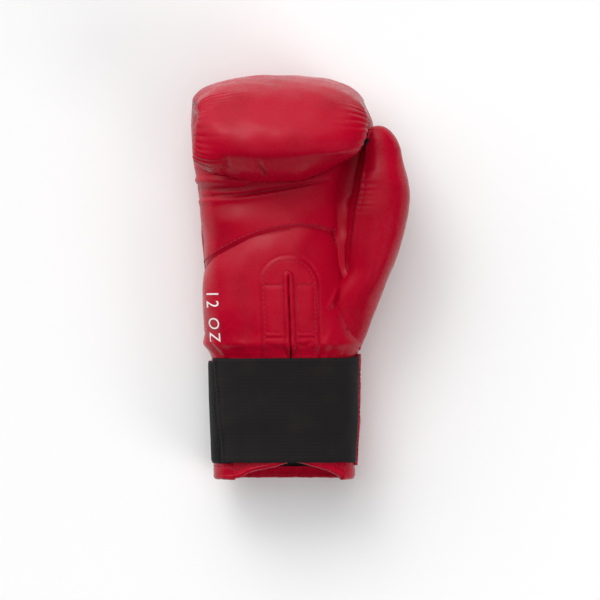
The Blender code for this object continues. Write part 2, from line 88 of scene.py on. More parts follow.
# ------------------------------------------------------------------------------------ node helpers
def linear(colour: str) -> tuple[float, float, float, float]:
    """Turns an sRGB hex colour into linear light.

    Args:
        colour: Six hex digits after a hash.

    Returns:
        Red, green, blue and an alpha of one.
    """
    parts = [int(colour[i : i + 2], 16) / 255 for i in (1, 3, 5)]
    r, g, b = (c / 12.92 if c <= 0.04045 else ((c + 0.055) / 1.055) ** 2.4 for c in parts)
    return r, g, b, 1.0


def add(tree: bpy.types.NodeTree, kind: str, links: dict | None = None, **settings: object) -> bpy.types.Node:
    """Adds a node.

    Args:
        tree: The tree that takes it.
        kind: The node's type name.
        links: Each input's name or number with its value or the output that feeds it.
        **settings: The node's own properties.

    Returns:
        The new node.
    """
    made = tree.nodes.new(kind)
    for name, value in settings.items():
        setattr(made, name, value)
    for name, value in (links or {}).items():
        if isinstance(value, bpy.types.NodeSocket):
            tree.links.new(value, made.inputs[name])
        else:
            made.inputs[name].default_value = value
    return made


# ---------------------------------------------------------------------------------------- finishes
@dataclass(frozen=True)
class Finish:
    """What every finish has: a name and a base colour."""

    name: str
    colour: str

    def blank(self) -> tuple[bpy.types.Material, bpy.types.NodeTree, bpy.types.Node]:
        """Makes a material with a bare Principled shader and returns it with its tree and shader.

        Returns:
            The material, its tree and its shader.
        """
        made = bpy.data.materials.new(self.name)
        made.use_nodes = True
        tree = made.node_tree
        shader = tree.nodes["Principled BSDF"]
        made.diffuse_color = linear(self.colour)
        return made, tree, shader


@dataclass(frozen=True)
class CoatedLeather(Finish):
    """Polyurethane-coated leather, embossed with a fine grain and lacquered to a satin gloss.

    The lacquer gives broad soft highlights, the grain breaks them up close to, and handling leaves
    the ridges a little paler; the folds carry painted shade, a darker tint where shade falls in them.
    """

    deep: str = "#9a021e"
    worn: str = "#b00526"
    fold_shade: str = "#5d0212"
    grain_mm: float = 0.75
    roughness: float = 0.27

    def material(self) -> bpy.types.Material:
        """Builds the leather's node tree.

        Returns:
            The material.
        """
        made, tree, shader = self.blank()
        place = add(tree, "ShaderNodeTexCoord").outputs["Object"]
        cloud = add(tree, "ShaderNodeTexNoise", {"Vector": place, "Scale": 28.0, "Detail": 3.0})
        ramp = add(tree, "ShaderNodeMapRange", {"Value": cloud.outputs["Fac"], "From Min": 0.22, "From Max": 0.5})
        tint = add(tree, "ShaderNodeMix", {"Factor": ramp.outputs["Result"], 6: linear(self.deep),
                   7: linear(self.colour)}, data_type="RGBA")
        relief = add(tree, "ShaderNodeAttribute", attribute_name="relief")
        high = add(tree, "ShaderNodeMapRange", {"Value": relief.outputs["Fac"], "From Min": 0.62, "From Max": 1.0,
                   "To Max": 0.3})
        # painted shade: low relief, in folds and turned edges, is tinted darker toward the fold-shade colour
        low = add(tree, "ShaderNodeMapRange", {"Value": relief.outputs["Fac"], "From Min": 0.42, "From Max": 0.05,
                  "To Max": 0.5})
        lighter = add(tree, "ShaderNodeMix", {"Factor": high.outputs["Result"], 6: tint.outputs[2],
                      7: linear(self.worn)}, data_type="RGBA")
        darker = add(tree, "ShaderNodeMix", {"Factor": low.outputs["Result"], 6: lighter.outputs[2],
                     7: linear(self.fold_shade)}, data_type="RGBA")
        tree.links.new(darker.outputs[2], shader.inputs["Base Color"])

        cells = add(tree, "ShaderNodeTexVoronoi", {"Vector": place, "Scale": 1 / (self.grain_mm * MM)},
                    feature="DISTANCE_TO_EDGE")
        pebble = add(tree, "ShaderNodeMapRange", {"Value": cells.outputs["Distance"], "From Max": 0.22})
        soft = add(tree, "ShaderNodeTexNoise", {"Vector": place, "Scale": 160.0, "Detail": 5.0, "Distortion": 0.6})
        hand = add(tree, "ShaderNodeTexNoise", {"Vector": place, "Scale": 45.0, "Detail": 2.0})
        grain = add(tree, "ShaderNodeBump", {"Height": pebble.outputs["Result"], "Strength": 0.12,
                    "Distance": 0.00012})
        supple = add(tree, "ShaderNodeBump", {"Height": soft.outputs["Fac"], "Strength": 0.16, "Distance": 0.0005,
                     "Normal": grain.outputs["Normal"]})
        drape = add(tree, "ShaderNodeBump", {"Height": hand.outputs["Fac"], "Strength": 0.10, "Distance": 0.0022,
                    "Normal": supple.outputs["Normal"]})
        tree.links.new(drape.outputs["Normal"], shader.inputs["Normal"])
        gloss = add(tree, "ShaderNodeMapRange", {"Value": soft.outputs["Fac"], "From Min": 0.3, "From Max": 0.7,
                    "To Min": self.roughness - 0.05, "To Max": self.roughness + 0.07})
        tree.links.new(gloss.outputs["Result"], shader.inputs["Roughness"])
        shader.inputs["IOR"].default_value = 1.5
        shader.inputs["Specular IOR Level"].default_value = 0.16
        return made


@dataclass(frozen=True)
class WovenElastic(Finish):
    """Heavy woven elastic: polyester over rubber cords, so close ribs run along the strap.

    The ribs catch a thin grey light along their crests and swallow it between them.
    """

    valley: str = "#191617"
    dust: str = "#302826"
    rib_mm: float = 1.3
    pick_mm: float = 0.9

    def material(self) -> bpy.types.Material:
        """Builds the ribbed weave from the strap's own map, whose unit is a metre.

        Returns:
            The material.
        """
        made, tree, shader = self.blank()
        flat = add(tree, "ShaderNodeUVMap", uv_map="cloth").outputs["UV"]
        ribs = add(tree, "ShaderNodeTexWave", {"Vector": flat, "Scale": 1 / (self.rib_mm * MM) / 20 * math.pi,
                   "Distortion": 0.4, "Detail": 1.0}, bands_direction="Y")
        picks = add(tree, "ShaderNodeTexWave", {"Vector": flat, "Scale": 1 / (self.pick_mm * MM) / 20 * math.pi,
                    "Distortion": 0.6, "Detail": 1.0}, bands_direction="X")
        weave = add(tree, "ShaderNodeMath", {0: ribs.outputs["Fac"], 1: picks.outputs["Fac"]}, operation="MULTIPLY")
        fuzz = add(tree, "ShaderNodeTexNoise", {"Vector": flat, "Scale": 900.0, "Detail": 4.0})
        wear = add(tree, "ShaderNodeTexNoise", {"Vector": flat, "Scale": 40.0, "Detail": 4.0})
        # painted shade: the colour darkens toward the valley colour between the ribs and picks
        body = add(tree, "ShaderNodeMix", {"Factor": weave.outputs[0], 6: linear(self.valley),
                   7: linear(self.colour)}, data_type="RGBA")
        dusty = add(tree, "ShaderNodeMapRange", {"Value": wear.outputs["Fac"], "From Min": 0.5, "From Max": 0.8,
                    "To Max": 0.3})
        aged = add(tree, "ShaderNodeMix", {"Factor": dusty.outputs["Result"], 6: body.outputs[2],
                   7: linear(self.dust)}, data_type="RGBA")
        tree.links.new(aged.outputs[2], shader.inputs["Base Color"])
        rib = add(tree, "ShaderNodeBump", {"Height": ribs.outputs["Fac"], "Strength": 0.25, "Distance": 0.0002})
        nap = add(tree, "ShaderNodeBump", {"Height": fuzz.outputs["Fac"], "Strength": 0.4, "Distance": 0.0001,
                  "Normal": rib.outputs["Normal"]})
        tree.links.new(nap.outputs["Normal"], shader.inputs["Normal"])
        shader.inputs["Roughness"].default_value = 0.85
        shader.inputs["Specular IOR Level"].default_value = 0.2
        shader.inputs["Sheen Weight"].default_value = 0.04
        return made


@dataclass(frozen=True)
class NappedFabric(Finish):
    """A knitted or brushed fabric: loop pile, hook tape or satin lining, told apart by grain and bump."""

    shade: str = "#070607"
    grain_mm: float = 0.8
    lift_mm: float = 0.4
    rough: float = 0.9
    sheen: float = 0.05

    def material(self) -> bpy.types.Material:
        """Builds the tufted surface on object coordinates.

        Returns:
            The material.
        """
        made, tree, shader = self.blank()
        place = add(tree, "ShaderNodeTexCoord").outputs["Object"]
        tufts = add(tree, "ShaderNodeTexVoronoi", {"Vector": place, "Scale": 1 / (self.grain_mm * MM)})
        fibre = add(tree, "ShaderNodeTexNoise", {"Vector": place, "Scale": 700.0, "Detail": 5.0})
        patch = add(tree, "ShaderNodeTexNoise", {"Vector": place, "Scale": 60.0, "Detail": 3.0})
        tint = add(tree, "ShaderNodeMix", {"Factor": patch.outputs["Fac"], 6: linear(self.shade),
                   7: linear(self.colour)}, data_type="RGBA")
        tree.links.new(tint.outputs[2], shader.inputs["Base Color"])
        pile = add(tree, "ShaderNodeBump", {"Height": tufts.outputs["Distance"], "Strength": 0.7,
                   "Distance": self.lift_mm * MM}, invert=True)
        fuzz = add(tree, "ShaderNodeBump", {"Height": fibre.outputs["Fac"], "Strength": 0.5, "Distance": 0.0002,
                   "Normal": pile.outputs["Normal"]})
        tree.links.new(fuzz.outputs["Normal"], shader.inputs["Normal"])
        shader.inputs["Roughness"].default_value = self.rough
        shader.inputs["Sheen Weight"].default_value = self.sheen
        shader.inputs["Specular IOR Level"].default_value = 0.12
        return made


@dataclass(frozen=True)
class BondedThread(Finish):
    """Three-ply bonded nylon thread: a slight shine and a twist that shows only close to."""

    twisted: str = "#7a1020"
    rough: float = 0.5

    def material(self) -> bpy.types.Material:
        """Builds the thread with a fine twist in its bump.

        Returns:
            The material.
        """
        made, tree, shader = self.blank()
        place = add(tree, "ShaderNodeTexCoord").outputs["Object"]
        twist = add(tree, "ShaderNodeTexNoise", {"Vector": place, "Scale": 1800.0, "Detail": 2.0})
        shade = add(tree, "ShaderNodeMix", {"Factor": twist.outputs["Fac"], 6: linear(self.colour),
                    7: linear(self.twisted)}, data_type="RGBA")
        tree.links.new(shade.outputs[2], shader.inputs["Base Color"])
        ply = add(tree, "ShaderNodeBump", {"Height": twist.outputs["Fac"], "Strength": 0.4, "Distance": 0.0001})
        tree.links.new(ply.outputs["Normal"], shader.inputs["Normal"])
        shader.inputs["Roughness"].default_value = self.rough
        return made


@dataclass(frozen=True)
class ScreenPrint(Finish):
    """White screen-print ink: flat, slightly rough, thin at the grain's edges."""

    thin: str = "#d8d2d2"

    def material(self) -> bpy.types.Material:
        """Builds the ink with a faint mottling.

        Returns:
            The material.
        """
        made, tree, shader = self.blank()
        place = add(tree, "ShaderNodeTexCoord").outputs["Object"]
        mottle = add(tree, "ShaderNodeTexNoise", {"Vector": place, "Scale": 900.0, "Detail": 3.0})
        ink = add(tree, "ShaderNodeMix", {"Factor": mottle.outputs["Fac"], 6: linear(self.colour),
                  7: linear(self.thin)}, data_type="RGBA")
        tree.links.new(ink.outputs[2], shader.inputs["Base Color"])
        shader.inputs["Roughness"].default_value = 0.55
        return made


# -------------------------------------------------------------------------------- smooth functions
def smooth(value: Array) -> Array:
    """Eases a value from nought to one with no corner at either end."""
    share = np.clip(value, 0, 1)
    return share * share * (3 - 2 * share)


def bell(distance: Array, width: float) -> Array:
    """A rounded bump of height one, and about width wide each side."""
    return np.exp(-((distance / width) ** 2))


def unit(vectors: Array) -> Array:
    """Scales vectors to a length of one."""
    return vectors / np.maximum(np.linalg.norm(vectors, axis=-1, keepdims=True), 1e-9)


def bridge(start: Array, end: Array, leave: Array, arrive: Array, t: Array) -> Array:
    """A smooth curve from start to end, read at t from nought to one, that leaves and arrives as told."""
    return (start * (1 + 2 * t) * (1 - t) ** 2 + end * t * t * (3 - 2 * t) + leave * t * (1 - t) ** 2
            + arrive * t * t * (t - 1))


def relax(values: Array, times: int) -> None:
    """Evens out the rows of an array in place, with its two ends held."""
    for _ in range(times):
        values[1:-1] = (values[:-2] + 2 * values[1:-1] + values[2:]) / 4


def monotone(table: Array, at: Array) -> Array:
    """Reads a table on a smooth curve through its rows that never overshoots them.

    Args:
        table: Keys in the first column, values in the others.
        at: Where to read it.

    Returns:
        The values, with one more axis than at.
    """
    keys, values = table[:, 0], table[:, 1:]
    steps = np.diff(keys)[:, None]
    rises = np.diff(values, axis=0) / steps
    product = rises[:-1] * rises[1:]
    total = np.where(product > 0, rises[:-1] + rises[1:], 1)
    inner = np.where(product > 0, 2 * product / total, 0)
    slopes = np.vstack([np.zeros(values.shape[1]), inner, np.zeros(values.shape[1])])
    key = np.clip(at, keys[0], keys[-1])
    i = np.clip(np.searchsorted(keys, key, side="right") - 1, 0, len(keys) - 2)
    step = steps[i]
    t = (key[..., None] - keys[i][..., None]) / step
    return bridge(values[i], values[i + 1], slopes[i] * step, slopes[i + 1] * step, t)


def line(points: Path, at: Array) -> Array:
    """Reads one value from a short list of (key, value) pairs, on a smooth curve."""
    return monotone(np.array(sorted(points), float), np.asarray(at, float))[..., 0]


def waves(place: Array, wavelength: float, seed: int, count: int = 7) -> Array:
    """Soft undulations: plane waves in mixed directions, about one high.

    Args:
        place: Points, in millimetres.
        wavelength: The mean distance from crest to crest.
        seed: Picks the directions and phases.
        count: How many waves are mixed.

    Returns:
        A height at each point.
    """
    draw = np.random.default_rng(seed)
    total = np.zeros(place.shape[:-1])
    for _ in range(count):
        way = draw.normal(size=3)
        way *= 2 * math.pi / (np.linalg.norm(way) * wavelength * draw.uniform(0.7, 1.5))
        total += np.sin(place @ way + draw.uniform(0, 2 * math.pi))
    return total / math.sqrt(count)


def pleats(along: Array, spacing: float, seed: int) -> Array:
    """Uneven gathers: round ridges with narrow valleys, from nought to one.

    Args:
        along: Distance along the gathered edge.
        spacing: The mean distance between valleys.
        seed: Shifts the pattern.

    Returns:
        The height of the folds.
    """
    draw = np.random.default_rng(seed)
    one, two, three = draw.uniform(0, 2 * math.pi, 3)
    phase = (along / spacing + 0.30 * np.sin(along / (1.7 * spacing) + one)
             + 0.16 * np.sin(along / (0.9 * spacing) + two))
    size = 0.62 + 0.38 * np.sin(along / (2.3 * spacing) + three)
    return np.abs(np.sin(math.pi * phase)) ** 0.75 * size


def path_distance(x: Array, y: Array, path: Path) -> tuple[Array, Array]:
    """Distance to a broken line, and how far along it the nearest point is, from nought to one.

    Args:
        x: Places across, in millimetres.
        y: Distances from the cuff, in millimetres.
        path: The line's corners.

    Returns:
        The distances, and the shares of the line's length.
    """
    best = np.full(x.shape, 1e9)
    share = np.zeros(x.shape)
    lengths = [math.dist(p, q) for p, q in zip(path, path[1:])]
    gone = 0.0
    for (ax, ay), (bx, by), length in zip(path, path[1:], lengths):
        t = np.clip(((x - ax) * (bx - ax) + (y - ay) * (by - ay)) / length**2, 0, 1)
        d = np.hypot(x - ax - t * (bx - ax), y - ay - t * (by - ay))
        nearer = d < best
        best = np.where(nearer, d, best)
        share = np.where(nearer, (gone + t * length) / sum(lengths), share)
        gone += length
    return best, share


def fold(x: Array, y: Array, path: Path, width: float, height: float) -> Array:
    """A fold along a line, high in its middle and fading to its ends; a negative height is a crease."""
    d, along = path_distance(x, y, path)
    return height * bell(d, width) * np.sqrt(np.clip(np.sin(math.pi * along), 0, 1))


# ------------------------------------------------------------------------------------- the hand's form
@dataclass(frozen=True)
class HandForm:
    """The glove's outer skin and cavity: the CAD model's, but narrower at the fist's far thumb-side corner."""

    middle_x: float = -10.5
    crease: tuple[float, float] = (250.0, 78.0)
    crease_radius: float = 2.5
    fist: tuple[float, float, float, float] = (246.5, 60.0, 43.5, 60.0)
    fist_squareness: float = 2.3
    fist_lean: float = 0.18
    corner: float = 9.5

    # Station, bottom, top, half-width to the little finger, half-width to the thumb.
    outer: Array = field(default_factory=lambda: np.array([
        (0.0, 3.0, 68.0, 52.0, 51.0),
        (45.0, 2.0, 69.0, 53.5, 53.0),
        (90.0, 2.0, 72.0, 55.0, 53.5),
        (125.0, 0.2, 77.0, 56.8, 46.5),
        (165.0, -1.2, 77.5, 59.5, 43.5),
        (205.0, -1.4, 76.5, 63.0, 47.5),
        (250.0, 0.4, 75.5, 68.2, 64.5),
        (295.0, 0.0, 0.0, 67.0, 65.0),
        (340.0, 0.0, 0.0, 62.5, 62.0),
        (385.0, 0.0, 0.0, 62.5, 61.0),
        (430.0, 0.0, 0.0, 66.0, 60.0),
        (475.0, 0.0, 0.0, 66.5, 53.0),
        (520.0, 0.0, 0.0, 63.0, 44.0),
    ]))

    # Station, wall at the back, wall at the palm, wall at the sides.
    walls: Array = field(default_factory=lambda: np.array([
        (0.0, 4.6, 4.6, 4.6),
        (14.0, 12.0, 7.4, 8.6),
        (45.0, 14.0, 7.6, 9.5),
        (90.0, 17.0, 8.0, 11.0),
        (125.0, 24.0, 8.5, 10.5),
        (165.0, 33.0, 8.5, 10.5),
        (205.0, 37.0, 8.5, 12.5),
        (250.0, 38.0, 6.5, 17.0),
        (280.0, 33.0, 6.0, 17.0),
        (310.0, 22.0, 6.0, 17.0),
        (340.0, 15.0, 5.2, 18.0),
        (370.0, 11.0, 5.2, 20.0),
        (400.0, 11.0, 5.5, 22.0),
    ]))

    def fist_radius(self, theta: Array) -> Array:
        """Distance from the crease to the fist's leaning, rounded outline, along each ray.

        Args:
            theta: Angles of the rays, in radians.

        Returns:
            One distance for each ray.
        """
        y0, z0, half_y, half_z = self.fist
        near, far = np.zeros_like(theta), np.full_like(theta, 200.0)
        for _ in range(30):
            r = (near + far) / 2
            z = self.crease[1] + r * np.sin(theta)
            y = self.crease[0] + r * np.cos(theta) - (y0 - self.fist_lean * (z - z0))
            power = self.fist_squareness
            inside = (np.abs(y) / half_y) ** power + (np.abs(z - z0) / half_z) ** power < 1
            near, far = np.where(inside, r, near), np.where(inside, far, r)
        return near

    def halves(self, s: Array) -> tuple[Array, Array, Array]:
        """Half-widths to the little finger and to the thumb, and the section's squareness.

        Args:
            s: Stations.

        Returns:
            The three, one of each for each station.
        """
        row = monotone(self.outer, s)
        square = np.where(s <= 250, 2.6 - 0.2 * s / 250, 2.4 - 0.1 * np.clip((s - 250) / 90, 0, 1))
        return row[..., 2], row[..., 3], square

    def skin(self, s: Array, a: Array, cavity: bool = False) -> Array:
        """Points of the outer skin or of the cavity.

        Args:
            s: Stations.
            a: Angles in degrees.
            cavity: Whether the points are on the hand's side of the padding.

        Returns:
            Points in millimetres.
        """
        s, a = np.broadcast_arrays(np.asarray(s, float), np.asarray(a, float))
        little, thumb, square = self.halves(s)
        tube = monotone(self.outer[:7], s)
        wall = monotone(self.walls, s) if cavity else np.zeros(s.shape + (3,))
        theta = np.radians(s - 340)
        reach = self.fist_radius(theta) - wall[..., 0]
        near = self.crease_radius + wall[..., 1]
        curled = s > 250
        back_y = np.where(curled, self.crease[0] + reach * np.cos(theta), s)
        back_z = np.where(curled, self.crease[1] + reach * np.sin(theta), tube[..., 0] + wall[..., 0])
        palm_y = np.where(curled, self.crease[0] + near * np.cos(theta), s)
        palm_z = np.where(curled, self.crease[1] + near * np.sin(theta), tube[..., 1] - wall[..., 1])
        cosine, sine = np.cos(np.radians(a)), np.sin(np.radians(a))
        c = np.sign(cosine) * np.abs(cosine) ** (2 / square)
        h = np.sign(sine) * np.abs(sine) ** (2 / square)
        half = np.where(cosine > 0, thumb, little) - wall[..., 2]
        x, y = self.middle_x + half * c, (back_y + palm_y) / 2 + (palm_y - back_y) / 2 * h
        if not cavity:  # the fist narrows toward its far thumb-side corner
            x = x - self.corner * smooth((x - 8) / 46) * smooth((y - 254) / 26)
        return np.stack([x, y, (back_z + palm_z) / 2 + (palm_z - back_z) / 2 * h], axis=-1)

    def across(self, x: Array, s: Array) -> Array:
        """The angle on the palm at a distance across the glove.

        Args:
            x: Places across, in millimetres.
            s: Stations.

        Returns:
            Angles in degrees.
        """
        little, thumb, square = self.halves(np.asarray(s, float))
        side = x - self.middle_x
        share = np.clip(np.abs(side) / np.where(side > 0, thumb, little), 0, 1)
        return np.degrees(np.arccos(np.sign(side) * share ** (square / 2)))

    def facing(self, s: Array, a: Array, cavity: bool = False) -> Array:
        """Outward unit normals.

        Args:
            s: Stations.
            a: Angles in degrees.
            cavity: Whether they are on the hand's side of the padding.

        Returns:
            One normal for each point.
        """
        ds = self.skin(s + 0.4, a, cavity) - self.skin(s - 0.4, a, cavity)
        da = self.skin(s, a + 0.4, cavity) - self.skin(s, a - 0.4, cavity)
        return unit(np.cross(ds, da))

    def angles(self, low: float, high: float, count: int, s: float = 170.0) -> Array:
        """Angles between two limits that lie at even distances round the section at s.

        Args:
            low: The lower limit, in degrees.
            high: The upper limit, in degrees.
            count: How many are wanted.
            s: The station of the section.

        Returns:
            The angles, in degrees.
        """
        fine = np.linspace(low, high, 900)
        points = self.skin(np.full_like(fine, s), fine)
        gone = np.concatenate([[0], np.cumsum(np.linalg.norm(np.diff(points, axis=0), axis=1))])
        return np.interp(np.linspace(0, gone[-1], count), gone, fine)


FORM = HandForm()


# ---------------------------------------------------------------------------------------- panels
def grid_cells(rows: int, columns: int) -> Array:
    """The quads of a grid of points, in rows and columns."""
    index = np.arange(rows * columns).reshape(rows, columns)
    return np.stack([index[:-1, :-1], index[1:, :-1], index[1:, 1:], index[:-1, 1:]], axis=-1)


def placed(points: Array) -> Array:
    """Turns points of the glove, in millimetres, into the frame's metres."""
    return (np.asarray(points) - (0, CENTRE_Y, 0)) * MM


def link(name: str, data: bpy.types.ID) -> bpy.types.Object:
    """Makes an object of a mesh, a curve, a lamp or a camera, and puts it in the scene.

    Args:
        name: The object's name.
        data: What it is made of.

    Returns:
        The object.
    """
    made = bpy.data.objects.new(name, data)
    bpy.context.scene.collection.objects.link(made)
    return made


@dataclass
class Panel:
    """A grid of points on a surface, with its normals, that is raised and creased and then sewn up."""

    point: Array
    normal: Array
    s: Array
    a: Array
    detail: Array = field(init=False)
    left: Array = field(init=False)
    right: Array = field(init=False)
    low: Array = field(init=False)
    high: Array = field(init=False)

    def __post_init__(self) -> None:
        """Measures each point's distance to the four edges of the grid."""
        self.detail = np.zeros(self.point.shape[:2])
        across = np.linalg.norm(np.diff(self.point, axis=1), axis=-1)
        along = np.linalg.norm(np.diff(self.point, axis=0), axis=-1)
        self.left = np.pad(np.cumsum(across, axis=1), ((0, 0), (1, 0)))
        self.right = self.left[:, -1:] - self.left
        self.low = np.pad(np.cumsum(along, axis=0), ((1, 0), (0, 0)))
        self.high = self.low[-1:] - self.low

    @classmethod
    def on_hand(cls, s: Array, a: Array, lift: float = 0.0, cavity: bool = False) -> "Panel":
        """A panel on the hand's skin, from a grid of stations and angles.

        Args:
            s: Stations.
            a: Angles in degrees.
            lift: Height above the surface.
            cavity: Whether they are on the hand's side of the padding.

        Returns:
            The panel.
        """
        s, a = np.broadcast_arrays(s, a)
        normal = FORM.facing(s, a, cavity)
        return cls(FORM.skin(s, a, cavity) + normal * lift, normal, s, a)

    @property
    def x(self) -> Array:
        """Distances across."""
        return self.point[..., 0]

    @property
    def y(self) -> Array:
        """Distances from the cuff."""
        return self.point[..., 1]

    @property
    def edge(self) -> Array:
        """Each point's distance to the nearest edge."""
        return np.minimum(np.minimum(self.left, self.right), np.minimum(self.low, self.high))

    def shape(self, height: Array, fine: bool = True) -> "Panel":
        """Moves the points along their normals; fine detail also tints the leather.

        Args:
            height: How far each point moves.
            fine: Whether the relief tints the leather.

        Returns:
            The panel.
        """
        self.point = self.point + self.normal * height[..., None]
        if fine:
            self.detail = self.detail + height
        return self

    def turned_edge(self, distance: Array, depth: float = 1.1, width: float = 2.2) -> "Panel":
        """Rolls an edge down into its seam."""
        return self.shape(-depth * bell(distance, width))

    def inflate(self, every: int, pressure: float, slack: Array, sewn: Array, cap: float) -> "Panel":
        """Fills the panel as its padding does, by a cloth simulation of a coarser copy held at its seams.

        Args:
            every: Grid steps between the coarse copy's points.
            pressure: The cloth's inner pressure.
            slack: Extra cloth at each point, from none at nought to a tenth of its length at one.
            sewn: How firmly each point is held, from nought to one.
            cap: About the furthest that a point may move, in millimetres.

        Returns:
            The panel.
        """
        rows, columns = self.point.shape[:2]
        down = np.unique(np.append(np.arange(0, rows, every), rows - 1))
        over = np.unique(np.append(np.arange(0, columns, every), columns - 1))
        coarse = self.point[np.ix_(down, over)]
        mesh = bpy.data.meshes.new("cloth_trial")
        cells = grid_cells(*coarse.shape[:2]).reshape(-1, 4)
        mesh.from_pydata((coarse.reshape(-1, 3) * MM).tolist(), [], cells.tolist())
        trial = link("cloth_trial", mesh)
        for name, weights in (("sewn", sewn), ("slack", slack)):
            group = trial.vertex_groups.new(name=name)
            spread = np.broadcast_to(weights, self.point.shape[:2])[np.ix_(down, over)]
            for i, weight in enumerate(spread.reshape(-1)):
                group.add([i], float(np.clip(weight, 0, 1)), "REPLACE")
        cloth = trial.modifiers.new("cloth", "CLOTH")
        fabric = cloth.settings
        fabric.quality, fabric.mass = 6, 0.25
        fabric.tension_stiffness = fabric.compression_stiffness = 14
        fabric.shear_stiffness, fabric.bending_stiffness = 6, 1.2
        fabric.vertex_group_mass, fabric.vertex_group_shrink = "sewn", "slack"
        fabric.shrink_min, fabric.shrink_max = 0.0, -0.1
        fabric.use_pressure, fabric.uniform_pressure_force = True, pressure
        fabric.effector_weights.gravity = 0
        cloth.collision_settings.use_collision = False
        for frame in range(1, 21):
            bpy.context.scene.frame_set(frame)
        blown = trial.evaluated_get(bpy.context.evaluated_depsgraph_get()).to_mesh()
        flat = np.empty(len(blown.vertices) * 3)
        blown.vertices.foreach_get("co", flat)
        moved = flat.reshape(coarse.shape) / MM - coarse
        bpy.data.objects.remove(trial)
        bpy.context.scene.frame_set(1)
        length = np.maximum(np.linalg.norm(moved, axis=-1, keepdims=True), 1e-6)
        moved *= cap * np.tanh(length / cap) / length
        grid = np.empty((len(down), columns, 3))
        for i in range(len(down)):
            for k in range(3):
                grid[i, :, k] = np.interp(np.arange(columns), over, moved[i, :, k])
        full = np.empty(self.point.shape)
        for j in range(columns):
            for k in range(3):
                full[:, j, k] = np.interp(np.arange(rows), down, grid[:, j, k])
        for _ in range(every):
            relax(full, 1)
            relax(full.swapaxes(0, 1), 1)
        far = np.linalg.norm(full, axis=-1)
        LOG.info("cloth moved %.2f mm on average, %.2f mm at most", float(far.mean()), float(far.max()))
        self.point = self.point + full
        return self

    def rest(self) -> "Panel":
        """Presses the panel flat where it meets the floor."""
        self.point[..., 2] = np.maximum(self.point[..., 2], 0.0)
        return self

    def sew(self, name: str, look: bpy.types.Material, wall: float = 1.2, keep: Array | None = None,
            inward: bool = False) -> bpy.types.Object:
        """Makes the panel a closed mesh object.

        Args:
            name: The piece's name.
            look: Its material.
            wall: The leather's or fabric's thickness, laid inwards.
            keep: Which cells are kept.
            inward: Whether the visible side faces the hand.

        Returns:
            The object, at the origin.
        """
        quads = grid_cells(*self.point.shape[:2])
        whole = quads.reshape(-1, 4)
        cells = whole if keep is None else quads[keep]
        if inward:
            cells, whole = cells[:, ::-1], whole[:, ::-1]
        points = self.point.reshape(-1, 3)
        cloth = np.stack([self.left.reshape(-1) * MM, self.s.reshape(-1) * MM], axis=-1)
        return solid(name, points, cells, look, wall, self.detail.reshape(-1), cloth, vertex_normals(points, whole))


def vertex_normals(points: Array, cells: Array) -> Array:
    """Unit normals at the points, averaged over the quads round each.

    Args:
        points: The points.
        cells: The quads between them.

    Returns:
        One normal for each point.
    """
    corner = points[cells]
    across = np.cross(corner[:, 2] - corner[:, 0], corner[:, 3] - corner[:, 1])
    normal = np.zeros_like(points)
    for k in range(4):
        np.add.at(normal, cells[:, k], across)
    return unit(normal)


def vertex_normals_of_grid(points: Array) -> Array:
    """Unit normals of a grid of points, to the same side as its skin's."""
    return unit(np.cross(np.gradient(points, axis=0), np.gradient(points, axis=1)))


def solid(name: str, points: Array, cells: Array, look: bpy.types.Material, wall: float = 0.0,
          detail: Array | None = None, cloth: Array | None = None, normal: Array | None = None) -> bpy.types.Object:
    """Makes a mesh object from points in millimetres.

    Args:
        name: The piece's name.
        points: Its points.
        cells: Its quads.
        look: Its material.
        wall: Thickness to give an open surface, laid inwards.
        detail: Height of the fine relief, which tints the leather.
        cloth: Where each point lies on the flat cloth, in metres.
        normal: The points' normals, where a neighbouring piece goes on from this one.

    Returns:
        The object, at the origin.
    """
    facing = vertex_normals(points, cells) if normal is None else normal
    used, place = np.unique(cells, return_inverse=True)
    cells = place.reshape(cells.shape)
    points, facing = points[used], facing[used]
    detail = np.zeros(len(used)) if detail is None else detail[used]
    cloth = np.zeros((len(used), 2)) if cloth is None else cloth[used]
    if wall:
        count = len(points)
        edges = np.stack([cells, np.roll(cells, -1, axis=1)], axis=-1).reshape(-1, 2)
        key = np.sort(edges, axis=1)
        _, first, times = np.unique(key[:, 0] * count + key[:, 1], return_index=True, return_counts=True)
        rim = edges[first[times == 1]]
        sides = np.stack([rim[:, 1], rim[:, 0], rim[:, 0] + count, rim[:, 1] + count], axis=1)
        points = np.vstack([points, points - facing * wall])
        facing = np.vstack([facing, -facing])
        cells = np.vstack([cells, cells[:, ::-1] + count, sides])
        detail, cloth = np.tile(detail, 2), np.tile(cloth, (2, 1))
    mesh = bpy.data.meshes.new(name)
    mesh.from_pydata(placed(points).tolist(), [], cells.tolist())
    relief = mesh.attributes.new("relief", "FLOAT", "POINT")
    relief.data.foreach_set("value", np.clip(0.5 + detail / 3, 0, 1).astype(np.float32))
    layer = mesh.uv_layers.new(name="cloth")
    corner = np.empty(len(mesh.loops), int)
    mesh.loops.foreach_get("vertex_index", corner)
    layer.data.foreach_set("uv", cloth[corner].astype(np.float32).reshape(-1))
    mesh.materials.append(look)
    mesh.shade_smooth()
    mesh.normals_split_custom_set_from_vertices(facing.tolist())
    return link(name, mesh)


